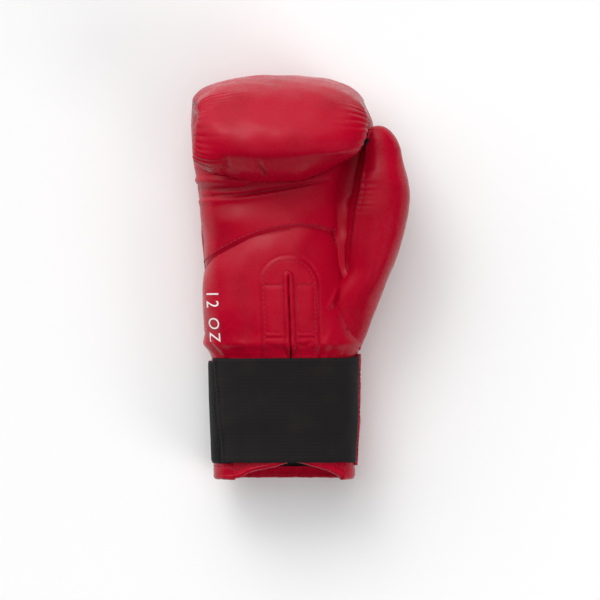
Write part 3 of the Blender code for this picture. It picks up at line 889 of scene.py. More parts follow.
def tube(name: str, centres: Array, radius: float | Array, look: bpy.types.Material, sides: int = 12,
         flatten: float = 1.0, up: Array | None = None) -> bpy.types.Object:
    """A closed round or oval cord along a line of points in millimetres.

    Args:
        name: The piece's name.
        centres: The line.
        radius: Its radius, the same all along or one for each point.
        look: Its material.
        sides: Points round the section.
        flatten: Height over width of the section.
        up: The way that the section's height points, one for each point.

    Returns:
        The object.
    """
    along = unit(np.gradient(centres, axis=0))
    upward = np.broadcast_to(np.array([0.0, 0.0, 1.0]) if up is None else up, centres.shape)
    side = unit(np.cross(along, upward))
    rise = np.cross(side, along)
    size = np.broadcast_to(np.asarray(radius, float), (len(centres),))[:, None, None]
    turn = np.linspace(0, 2 * math.pi, sides, endpoint=False)
    ring = side[:, None] * np.cos(turn)[None, :, None] + rise[:, None] * np.sin(turn)[None, :, None] * flatten
    points = (centres[:, None] + ring * size).reshape(-1, 3)
    rows = len(centres)
    points = np.vstack([points, centres[:1], centres[-1:]])
    index = np.arange(rows * sides).reshape(rows, sides)
    nxt = np.roll(index, -1, axis=1)
    quads = np.stack([index[:-1], index[1:], nxt[1:], nxt[:-1]], axis=-1).reshape(-1, 4).tolist()
    first, last = rows * sides, rows * sides + 1
    quads += [(first, int(nxt[0, k]), int(index[0, k])) for k in range(sides)][::-1]
    quads += [(last, int(index[-1, k]), int(nxt[-1, k])) for k in range(sides)]
    mesh = bpy.data.meshes.new(name)
    mesh.from_pydata(placed(points).tolist(), [], quads)
    shell = bmesh.new()
    shell.from_mesh(mesh)
    bmesh.ops.recalc_face_normals(shell, faces=shell.faces)
    shell.to_mesh(mesh)
    shell.free()
    relief = mesh.attributes.new("relief", "FLOAT", "POINT")
    relief.data.foreach_set("value", np.full(len(mesh.vertices), CORD_RELIEF, np.float32))
    mesh.materials.append(look)
    mesh.shade_smooth()
    return link(name, mesh)


# --------------------------------------------------------------------------------------- stitching
@dataclass
class StitchGun:
    """Sews a row of stitches along a line with Geometry Nodes."""

    thread: bpy.types.Material
    length_mm: float = 2.5
    pitch_mm: float = 3.4
    radius_mm: float = 0.42

    def tree(self) -> bpy.types.NodeTree:
        """Builds the tree: even points on the line, a bead of thread on each, then real mesh.

        Returns:
            The tree.
        """
        tree = bpy.data.node_groups.new("stitches", "GeometryNodeTree")
        face = tree.interface
        face.new_socket("Geometry", in_out="INPUT", socket_type="NodeSocketGeometry")
        for name, value in (("Pitch", self.pitch_mm), ("Length", self.length_mm), ("Radius", self.radius_mm)):
            face.new_socket(name, in_out="INPUT", socket_type="NodeSocketFloat").default_value = value * MM
        face.new_socket("Geometry", in_out="OUTPUT", socket_type="NodeSocketGeometry")
        source = add(tree, "NodeGroupInput")
        evenly = add(tree, "GeometryNodeResampleCurve", {"Curve": source.outputs["Geometry"],
                     "Length": source.outputs["Pitch"]}, mode="LENGTH")
        tangent = add(tree, "GeometryNodeInputTangent")
        turn = add(tree, "FunctionNodeAlignRotationToVector", {"Vector": tangent.outputs[0]}, axis="Z")
        bead = add(tree, "GeometryNodeMeshUVSphere", {"Segments": 8, "Rings": 6, "Radius": 1.0})
        size = add(tree, "ShaderNodeCombineXYZ", {"X": source.outputs["Radius"], "Y": source.outputs["Radius"],
                   "Z": add(tree, "ShaderNodeMath", {0: source.outputs["Length"], 1: 0.5},
                            operation="MULTIPLY").outputs[0]})
        row = add(tree, "GeometryNodeInstanceOnPoints", {"Points": evenly.outputs["Curve"],
                  "Instance": bead.outputs["Mesh"], "Rotation": turn.outputs[0], "Scale": size.outputs[0]})
        real = add(tree, "GeometryNodeRealizeInstances", {0: row.outputs["Instances"]})
        thread = add(tree, "GeometryNodeSetMaterial", {"Geometry": real.outputs[0], "Material": self.thread})
        round_off = add(tree, "GeometryNodeSetShadeSmooth", {0: thread.outputs[0]})
        add(tree, "NodeGroupOutput", {"Geometry": round_off.outputs[0]})
        return tree

    def sew(self, name: str, lines: Sequence[Array], **sizes: float) -> bpy.types.Object:
        """Sews stitches along each line of points.

        Args:
            name: The piece's name.
            lines: Lines in millimetres.
            **sizes: Pitch, Length or Radius in millimetres, where they differ from the usual.

        Returns:
            A mesh object of real stitches.
        """
        curve = bpy.data.curves.new(name, "CURVE")
        curve.dimensions = "3D"
        for points in lines:
            spline = curve.splines.new("POLY")
            spline.points.add(len(points) - 1)
            spline.points.foreach_set("co", np.hstack([placed(points), np.ones((len(points), 1))]).reshape(-1))
        path = link(name, curve)
        gun = path.modifiers.new("stitches", "NODES")
        gun.node_group = self.tree()
        for item in gun.node_group.interface.items_tree:
            if item.name in sizes:
                gun[item.identifier] = sizes[item.name] * MM
        bpy.context.view_layer.update()
        graph = bpy.context.evaluated_depsgraph_get()
        mesh = bpy.data.meshes.new_from_object(path.evaluated_get(graph), depsgraph=graph)
        mesh.name = name
        bpy.data.objects.remove(path)
        mesh.materials.clear()
        mesh.materials.append(self.thread)
        return link(name, mesh)


# ------------------------------------------------------------------------------------- workshop
@dataclass
class Workshop:
    """The finishes and the stitch gun that every sub-assembly shares."""

    leather: bpy.types.Material
    lining: bpy.types.Material
    elastic: bpy.types.Material
    loop: bpy.types.Material
    hook: bpy.types.Material
    ink: bpy.types.Material
    gun: StitchGun

    @classmethod
    def open(cls) -> "Workshop":
        """Makes each finish once."""
        thread = BondedThread("bonded_nylon_thread", "#a51b31").material()
        return cls(
            leather=CoatedLeather("coated_leather", "#ac0324").material(),
            lining=NappedFabric("satin_lining", "#1d1a1c", grain_mm=0.9, lift_mm=0.15, rough=0.6).material(),
            elastic=WovenElastic("woven_elastic", "#1f1b1c").material(),
            loop=NappedFabric("loop_pile", "#0e0d0d", grain_mm=1.0, lift_mm=0.6).material(),
            hook=NappedFabric("hook_tape", "#1d1c1e", grain_mm=1.3, lift_mm=0.8, rough=0.55, sheen=0.02).material(),
            ink=ScreenPrint("screen_print", "#f4f2f2").material(),
            gun=StitchGun(thread),
        )


def settle(piece: bpy.types.Object, slot: Slot, body: str, *nodes: str,
           bend: Bend | None = None) -> bpy.types.Object:
    """Puts a piece on its body, or bakes its place in where it crosses a joint, and hides the CAD nodes that it
    replaces.

    Args:
        piece: The finished piece.
        slot: Not used.
        body: The CAD body that it is put on, when it has no bend.
        *nodes: The CAD nodes that it replaces.
        bend: The second body of a piece that crosses a joint, with two points in millimetres; when it is
            given, the piece is left on no body with its transform baked in, and what it holds is not read.

    Returns:
        The piece.
    """
    if bend:
        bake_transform(piece)
    else:
        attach(piece, body)
    if nodes:
        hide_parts(*nodes)
    LOG.info("%s on %s: %d faces", piece.name, body, len(piece.data.polygons))
    return piece


# ---------------------------------------------------------------------------------------- the fist
@dataclass
class Fist:
    """The back of the hand, the knuckles and the finger roll under one sheet of leather."""

    shop: Workshop
    first: float = 86.4
    last: float = 514.0
    ridge_station: float = 443.0
    bend: Bend = ("finger_roll", (0.0, 250.0, 77.4), (0.0, 250.0, 101.0))

    def ridge_at(self, x: Array) -> Array:
        """The station of the roll's ridge, which turns forward at both ends."""
        aside = np.maximum(np.abs(x + 8.5) - 33, 0) / 17
        return self.ridge_station - 12 * aside**1.6

    def tucked(self, point: Array, s: Array) -> Array:
        """Draws the roll's front in from the foam block's face, more toward the thumb, so it overhangs less.

        Args:
            point: Points of the skin.
            s: Stations.

        Returns:
            The moved points.
        """
        x, y = point[..., 0], point[..., 1]
        reach = 12.4 + 2.2 * smooth((x + 5) / 25) - 2.5 * smooth((-50 - x) / 15)
        moved = point.copy()
        moved[..., 1] = y + reach * smooth((241 - y) / 34) * smooth((s - 385) / 40)
        return moved

    def cover(self) -> bpy.types.Object:
        """The one big panel, gathered where it is sewn to the ends of the roll.

        Returns:
            The finished piece.
        """
        tube_rows = np.arange(self.first, 250, 1.7)
        curl_rows = np.arange(250.6, self.last, 1.35)
        s = np.concatenate([tube_rows, curl_rows, [self.last]])[:, None]
        spread = np.concatenate([FORM.angles(178, 196, 26), FORM.angles(196, 344, 92)[1:],
                                 FORM.angles(344, 362, 26)[1:]])
        panel = Panel.on_hand(s, spread[None, :])
        panel.point = self.tucked(panel.point, panel.s)
        panel.normal = vertex_normals_of_grid(panel.point)
        inside = smooth((panel.s - 345) / 30)
        past = (panel.s - self.ridge_at(panel.x)) * 0.75
        body = smooth(np.minimum(panel.left, panel.right) / 26)
        panel.shape(inside * body * (1.1 * bell(past, 12) - 1.0 * bell(past - 24, 12)), fine=False)
        panel.shape(0.5 * waves(panel.point, 55, 3) + 0.22 * waves(panel.point, 21, 4), fine=False)
        for edge, seed in ((panel.left, 11), (panel.right, 12)):
            gathered = smooth((panel.s - 348) / 24)
            reach = 15 + 4 * np.sin(panel.s / 9 + seed)
            ripple = pleats(panel.s * 0.8, 7.4, seed)
            panel.shape(gathered * 2.3 * (ripple - 0.55) * np.exp(-((edge / reach) ** 1.4)) * smooth(edge / 2.5))
            panel.turned_edge(edge, 1.3, 2.4)
        hem = np.exp(-panel.high / (7 + 6 * smooth((-36 - panel.x) / 14)))
        for path, width, height in (([(-49, 238), (-52, 230), (-51, 223)], 1.4, -1.8),
                                    ([(-29.5, 234), (-28.5, 225), (-23, 216)], 1.3, -2.2)):
            panel.shape(smooth((panel.s - 455) / 40) * fold(panel.x, panel.y, path, width, height))
        panel.shape(smooth((panel.s - 470) / 30) * (0.9 + 1.3 * smooth((-36 - panel.x) / 14)) * hem
                    * (pleats(panel.x, 7.5, 15) - 0.6))
        panel.turned_edge(panel.high, 1.4, 2.0)
        panel.turned_edge(panel.low, 1.0, 2.2)
        slack = 0.35 * smooth((panel.s - 300) / 60) + 0.5 * np.exp(-np.minimum(panel.left, panel.right) / 14)
        held = np.maximum(1 - smooth(panel.edge / 4), 0.25 * smooth((6 - panel.point[..., 2]) / 6))
        panel.inflate(3, 3.0, slack, held, 2.6)
        panel.rest()
        piece = panel.sew("back_and_roll_cover", self.shop.leather)
        return settle(piece, Slot.LEATHER, "mitt", "back_cover", "roll_cover", "knuckle_foam", "roll_foam",
                      "little_finger_side_foam", "thumb_side_foam", bend=self.bend)

    def underside(self) -> bpy.types.Object:
        """The inner side of the roll, which faces the palm, and its closed end.

        Returns:
            The finished piece.
        """
        s = np.concatenate([np.arange(329, self.last, 2.2), [self.last]])[:, None]
        panel = Panel.on_hand(s, FORM.angles(-2, 182, 84)[None, :])
        panel.point = self.tucked(panel.point, panel.s)
        for edge in (panel.left, panel.right):
            panel.turned_edge(edge, 1.2, 2.2)
        ring = FORM.skin(np.full(160, self.last), np.linspace(0, 360, 160, endpoint=False))
        ring = self.tucked(ring, np.full(160, self.last))
        centre = (ring.min(axis=0) + ring.max(axis=0)) / 2
        shrink = np.concatenate([[0.985, 0.97], np.linspace(0.93, 0.04, 26)])[:, None, None]
        disc = centre + (ring[None] - centre) * shrink
        normal = np.cross(ring[40] - ring[0], ring[80] - ring[0])
        normal /= np.linalg.norm(normal)
        if normal @ (FORM.skin(self.last + 3.0, 270.0) - FORM.skin(self.last, 270.0)) < 0:
            normal = -normal
        dome = smooth((1 - shrink[..., 0]) / 0.2) * 1.3 - 1.0
        disc = disc + normal * (dome[..., None] + 0.5 * waves(disc, 18, 8)[..., None] * smooth((1 - shrink) / 0.3))
        closed = np.concatenate([disc, disc[:, :1]], axis=1)
        nought = np.zeros(closed.shape[:2])
        lid = Panel(closed, np.broadcast_to(normal, closed.shape), nought, nought)
        end = lid.sew("roll_end", self.shop.leather, inward=True)
        settle(end, Slot.LEATHER, "mitt", "roll_underside", bend=self.bend)
        piece = panel.sew("roll_inner_cover", self.shop.leather)
        return settle(piece, Slot.LEATHER, "mitt", "finger_pocket_lining", bend=self.bend)


# ---------------------------------------------------------------------------------------- the palm
@dataclass
class Palm:
    """The finger panel, the two halves of the heel and what surrounds the slit."""

    shop: Workshop
    seam: Path = ((-76, 146), (-69, 154.6), (-50.6, 166.8), (-28.8, 176.1), (-13.3, 179.4), (1.2, 181.0),
                   (14.7, 179.7), (24, 176.6), (36, 170))
    slit_top: float = 148.0
    patch_half: float = 19.8
    patch_spring: float = 139.9
    cross_row: float = 139.3
    little_fold: float = 131.0
    thumb_fold: float = 37.0
    little_bend: Bend = ("little_finger_flap", (-38.0, 118.0, 70.0), (-8.1, 90.4, 70.0))
    thumb_bend: Bend = ("thumb_flap", (26.0, 118.0, 70.0), (-6.5, 90.4, 70.0))

    def seam_station(self, a: Array) -> Array:
        """Where the arched seam crosses each angle."""
        x = FORM.skin(np.full_like(a, 168.0), a)[..., 0]
        return line(self.seam, x)

    def notch(self, x: Array) -> Array:
        """How far back the flaps are cut from the cuff's end, in a wide shallow V."""
        return line(((-70, 0.6), (-47, 0.8), (-36, 5.6), (-20, 9.0), (-4, 12.6), (14, 9.0), (24, 5.8), (35, 0.8),
                     (50, 0.6)), x)

    def slit_x(self, y: Array) -> Array:
        """The slit's middle, which leans a little."""
        return -8.0 + (self.slit_top - np.clip(y, 0, self.slit_top)) * 0.035

    def finger_panel(self) -> bpy.types.Object:
        """The plain panel under the finger roll, with the creases that the curled fingers press in it.

        Returns:
            The finished piece.
        """
        a = FORM.angles(2, 178, 150)[None, :]
        share = np.linspace(0, 1, 150)[:, None]
        start = self.seam_station(a) - 0.9
        s = start + (330 - start) * share
        panel = Panel.on_hand(s, a)
        x, y = panel.x, panel.y
        rise = smooth((250 - panel.s) / 40)
        panel.shape(0.5 * waves(panel.point, 38, 21) * rise, fine=False)
        panel.shape(2.0 * np.exp(-(((x + 48) / 22) ** 2 + ((y - 187) / 9) ** 2)), fine=False)
        panel.shape(-1.6 * np.exp(-(((x + 4) / 30) ** 2 + ((y - 196) / 10) ** 2)), fine=False)
        for path, width, height in (
            ([(-86, 203), (-43, 204.6), (-9, 209.7), (24, 216)], 1.3, -1.5),
            ([(-88, 199), (-62, 200.5), (-38, 202), (-14, 205)], 2.2, 1.0),
            ([(-84, 216), (-60, 215), (-38, 213.5)], 2.6, 2.0),
            ([(-84, 209.5), (-56, 209.5), (-28, 211)], 3.0, -1.4),
            ([(-80, 226), (-58, 222), (-40, 219)], 2.6, 1.0),
        ):
            panel.shape(fold(x, y, path, width, height))
        panel.turned_edge(panel.low, 1.1, 2.4)
        panel.turned_edge(panel.left, 1.0, 2.2)
        panel.turned_edge(panel.right, 1.0, 2.2)
        panel.inflate(3, 1.5, np.full(panel.s.shape, 0.3), 1 - smooth(panel.edge / 5), 1.4)
        piece = panel.sew("palm_finger_cover", self.shop.leather)
        return settle(piece, Slot.LEATHER, "mitt", "palm_finger_panel", "palm_finger_foam")

    def patch_depth(self, x: Array, y: Array) -> Array:
        """How far inside the arched patch a point is."""
        aside = x - self.slit_x(y)
        return np.where(y > self.patch_spring, self.patch_half - np.hypot(aside, y - self.patch_spring),
                        self.patch_half - np.abs(aside))

    def heel_relief(self, panel: Panel) -> None:
        """Raises the patch, its tabs and seams, the swell of the heel, and the folds that handling leaves.

        Args:
            panel: The heel's panel.
        """
        x, y = panel.x, panel.y
        aside = np.abs(x - self.slit_x(y))
        to_seam = panel.high
        open_hand = smooth((y - 90) / 8)
        panel.shape(open_hand * 3.4 * (1 - np.exp(-((to_seam / 9.5) ** 1.6))) - 0.4 * open_hand, fine=False)
        panel.shape(1.5 * np.exp(-(((x + 50) / 13) ** 2 + ((y - 122) / 26) ** 2)), fine=False)
        panel.shape(1.2 * np.exp(-(((x - 22) / 8) ** 2 + ((y - 112) / 20) ** 2)), fine=False)
        panel.shape(-1.0 * np.exp(-(((aside - 27) / 6) ** 2 + ((y - 122) / 26) ** 2)), fine=False)
        panel.shape(open_hand * 0.35 * waves(panel.point, 26, 31), fine=False)
        depth = self.patch_depth(x, y)
        panel.shape(0.7 * smooth((depth + 0.5) / 1.2) - 0.45 * bell(depth + 1.1, 0.8))
        panel.shape(-0.35 * bell(depth - 2.0, 0.55))
        inner = smooth((aside - 4.4) / 2.5) * smooth((depth - 2.6) / 2.5)
        between = smooth((y - 104.5) / 3) * smooth((138.6 - y) / 3)
        panel.shape(0.35 * inner * between)
        on_tab = smooth((aside - 4.2) / 1) * smooth((depth - 1.8) / 1)
        panel.shape(on_tab * (-0.4 * bell(y - self.cross_row, 0.7) + 0.55 * bell(y - 103.9, 1.0)
                              - 0.35 * bell(y - 101.6, 1.2)))
        panel.shape(0.35 * bell(aside, 5.5) * smooth((self.slit_top + 3 - y) / 5), fine=False)
        for path, width, height in (
            ([(-2.5, 97.5), (3.5, 95.5), (9, 99)], 1.6, -1.3),
            ([(-24, 97), (-15, 94), (-10, 98)], 1.8, -0.8),
            ([(26.4, 139), (23, 130), (19.4, 122)], 1.2, 1.1),
            ([(29, 137), (26, 128), (23, 119)], 1.5, -1.0),
            ([(24, 108), (19, 99), (17, 90)], 2.4, 0.9),
            ([(-69, 104), (-65, 95), (-60, 86)], 1.6, 0.5),
            ([(-66, 106), (-61, 97), (-57, 87)], 1.7, -0.9),
            ([(-62, 103), (-57, 94), (-52, 86)], 1.6, 0.7),
            ([(-40, 100), (-38, 93), (-37, 86)], 2.2, 0.6),
        ):
            panel.shape(fold(x, y, path, width, height))
        pinch = bell(y - 96, 6) * 1.0 - 0.9 * smooth((91 - y) / 4)
        panel.shape(pinch * smooth((y - 60) / 10 + 1), fine=False)
        gathers = pleats(x, 9, 41) - 0.55
        panel.shape(0.8 * gathers * np.exp(-np.maximum(y - 88, 0) / 7) * smooth((y - 80) / 6))

    def heel_half(self, sign: int) -> Panel:
        """One half of the heel, from the cuff's end to the arched seam.

        Args:
            sign: One for the thumb side, minus one for the little-finger side.

        Returns:
            The panel before it is sewn, with two columns more than its half beside the slit.
        """
        fold_at = self.thumb_fold if sign > 0 else self.little_fold
        end_at = 2.0 if sign > 0 else 178.0
        rows = np.concatenate([np.arange(0, 88, 1.6), np.arange(88, 150, 0.75), np.arange(150, 183, 1.0)])
        fine = np.linspace(0, 1, 46) ** 0.9
        outer = np.linspace(0, 1, 34)[1:]
        top = np.broadcast_to(rows[:, None], (len(rows), 1))
        gap = 0.55 * smooth((self.slit_top - rows) / 3)[:, None]
        inner = FORM.across(self.slit_x(top) + sign * gap, top)
        beyond = FORM.across(self.slit_x(top) - sign * np.array([1.6, 0.8]), top)
        a = np.concatenate([beyond, inner + (fold_at - inner) * fine[None, :],
                            fold_at + (end_at - fold_at) * outer[None, :] + 0 * inner], axis=1)
        limit = self.seam_station(a[-1:])
        keep_low = rows[:, None] < 120
        s = np.where(keep_low, rows[:, None], 120 + (limit - 120) * (rows[:, None] - 120) / (rows[-1] - 120))
        s = s + self.notch(FORM.skin(s, a)[..., 0]) * np.clip(1 - s / 45, 0, 1)
        order = slice(None) if sign < 0 else slice(None, None, -1)
        return Panel.on_hand(s[:, order], a[:, order])

    def heel(self) -> None:
        """Both halves, with the custom normals of one smooth sheet where they meet."""
        bends = {1: self.thumb_bend, -1: self.little_bend}
        nodes = {
            1: ("palm_heel_foam_thumb_side", "slit_tab_thumb_side", "flap_cover_thumb_side",
                "flap_foam_thumb_side"),
            -1: ("palm_heel_panel", "palm_heel_foam_little_finger_side", "slit_tab_little_finger_side",
                 "slit_patch", "flap_cover_little_finger_side", "flap_foam_little_finger_side"),
        }
        for sign, name in ((-1, "heel_little_finger_half"), (1, "heel_thumb_half")):
            panel = self.heel_half(sign)
            self.heel_relief(panel)
            panel.turned_edge(panel.high, 0.8, 1.8)
            cell_s = (panel.s[:-1, :-1] + panel.s[1:, 1:]) / 2
            cell_a = (panel.a[:-1, :-1] + panel.a[1:, 1:]) / 2
            beyond = cell_a > self.little_fold if sign < 0 else cell_a < self.thumb_fold
            keep = ~((cell_s < 86.0) & beyond)
            keep[:, slice(0, 2) if sign < 0 else slice(-2, None)] = False
            piece = panel.sew(name, self.shop.leather, keep=keep)
            settle(piece, Slot.LEATHER, "mitt", *nodes[sign], bend=bends[sign])

    def on_palm(self, x: Array, y: Array, lift: float = 0.0) -> Array:
        """Points on the finished heel, with its patch and swell.

        Args:
            x: Places across, in millimetres.
            y: Distances from the cuff, in millimetres.
            lift: Height above the surface.

        Returns:
            Points in millimetres.
        """
        s = np.asarray(y, float)[:, None]
        a = FORM.across(np.asarray(x, float), np.asarray(y, float))[:, None]
        panel = Panel.on_hand(s, a)
        panel.high = np.maximum(line(self.seam, panel.x) - panel.y, 0)
        self.heel_relief(panel)
        return (panel.point + panel.normal * lift)[:, 0]

    def slit_lips(self) -> None:
        """The rolled lips of the slit, one on each half, which meet above it."""
        bends = {1: self.thumb_bend, -1: self.little_bend}
        for sign, name in ((-1, "slit_lip_little_finger_side"), (1, "slit_lip_thumb_side")):
            over = np.sin(np.linspace(0, math.pi / 2, 12)[1:])
            y = np.concatenate([np.linspace(60, 144, 90), 144.2 + 3.9 * over])
            curve = np.clip((y - 144.2) / 3.9, 0, 1)
            x = self.slit_x(y) + sign * 1.95 * np.sqrt(1 - curve**2)
            x[-1] = self.slit_x(y[-1]) - sign * 0.3
            shown = smooth((y - 86) / 9)
            base = self.on_palm(x, y, 0.1)
            base[:, 2] += 0.75 * shown - 0.9 * (1 - shown)
            wobble = 1 + 0.05 * np.sin(y / 4.2 + sign) + 0.04 * np.sin(y / 1.9)
            piece = tube(name, base, (1.0 + 0.85 * shown) * wobble, self.shop.leather, sides=14, flatten=0.9)
            node = ("slit_piping",) if sign < 0 else ()
            settle(piece, Slot.LEATHER, "mitt", *node, bend=bends[sign])

    def gusset(self) -> None:
        """The dark stretch fabric behind the slit."""
        s = np.linspace(14, 152, 60)[:, None]
        a = FORM.across(self.slit_x(s) + np.linspace(10, -10, 16)[None, :], s)
        panel = Panel.on_hand(s, a, lift=-2.6)
        piece = panel.sew("slit_gusset_cloth", self.shop.lining, wall=0.7)
        settle(piece, Slot.LINING, "mitt", "slit_gusset")

    def stitching(self) -> None:
        """Rows of stitches round the patch, across its seams and along the arched seam."""
        gun = self.shop.gun
        for sign, where, bend in ((-1, "little_finger", self.little_bend), (1, "thumb", self.thumb_bend)):
            inset = self.patch_half - 2.0
            turn = np.linspace(0, math.pi / 2, 30)
            x = np.concatenate([np.full(40, inset), inset * np.cos(turn)])
            y = np.concatenate([np.linspace(89, self.patch_spring, 40), self.patch_spring + inset * np.sin(turn)])
            rows = [self.on_palm(self.slit_x(y) + sign * x, y, 0.12)]
            reach, height = np.linspace(5.2, 17.2, 14), np.full(14, self.cross_row)
            rows.append(self.on_palm(self.slit_x(height) + sign * reach, height, 0.1))
            settle(gun.sew(f"patch_stitches_{where}_side", rows), Slot.LEATHER, "mitt", bend=bend)
        above = self.seam_line(np.linspace(-70, 27, 120), 2.4)
        settle(gun.sew("arched_seam_stitches", [above], Pitch=3.6, Length=2.7, Radius=0.45), Slot.LEATHER, "mitt")

    def seam_line(self, x: Array, beyond: float) -> Array:
        """A line on the finger panel, a little beyond the arched seam.

        Args:
            x: Places across, in millimetres.
            beyond: How far past the seam.

        Returns:
            Points in millimetres.
        """
        y = line(self.seam, x) + beyond
        a = FORM.across(x, y)
        points = FORM.skin(y, a) + FORM.facing(y, a) * (-1.1 * math.exp(-((beyond / 2.4) ** 2)) + 0.55)
        bulge = 0.5 * waves(FORM.skin(y, a), 38, 21)
        return points + FORM.facing(y, a) * bulge[:, None]

    def print_mark(self) -> None:
        """The plain weight mark, printed along the little-finger edge of the heel."""
        text = bpy.data.curves.new("weight_mark", "FONT")
        text.body = "12 OZ"
        text.size = 0.0112
        text.space_character = 1.3
        text.align_x, text.align_y = "CENTER", "CENTER"
        text.resolution_u = 6
        holder = link("weight_mark", text)
        bpy.context.view_layer.update()
        flat = bpy.data.meshes.new_from_object(holder.evaluated_get(bpy.context.evaluated_depsgraph_get()))
        bpy.data.objects.remove(holder)
        shell = bmesh.new()
        shell.from_mesh(flat)
        bmesh.ops.subdivide_edges(shell, edges=shell.edges, cuts=1, use_grid_fill=False)
        bmesh.ops.triangulate(shell, faces=shell.faces)
        letters = np.array([v.co[:] for v in shell.verts]) / MM
        x = -59.6 + letters[:, 1]
        y = 117.0 - letters[:, 0]
        for vert, co in zip(shell.verts, placed(self.on_palm(x - 0.05 * (y - 117), y, 0.3))):
            vert.co = co
        bmesh.ops.recalc_face_normals(shell, faces=shell.faces)
        if sum(f.normal.z for f in shell.faces) < 0:
            bmesh.ops.reverse_faces(shell, faces=shell.faces)
        shell.to_mesh(flat)
        shell.free()
        flat.materials.clear()
        flat.materials.append(self.shop.ink)
        settle(link("weight_mark", flat), Slot.LEATHER, "mitt")


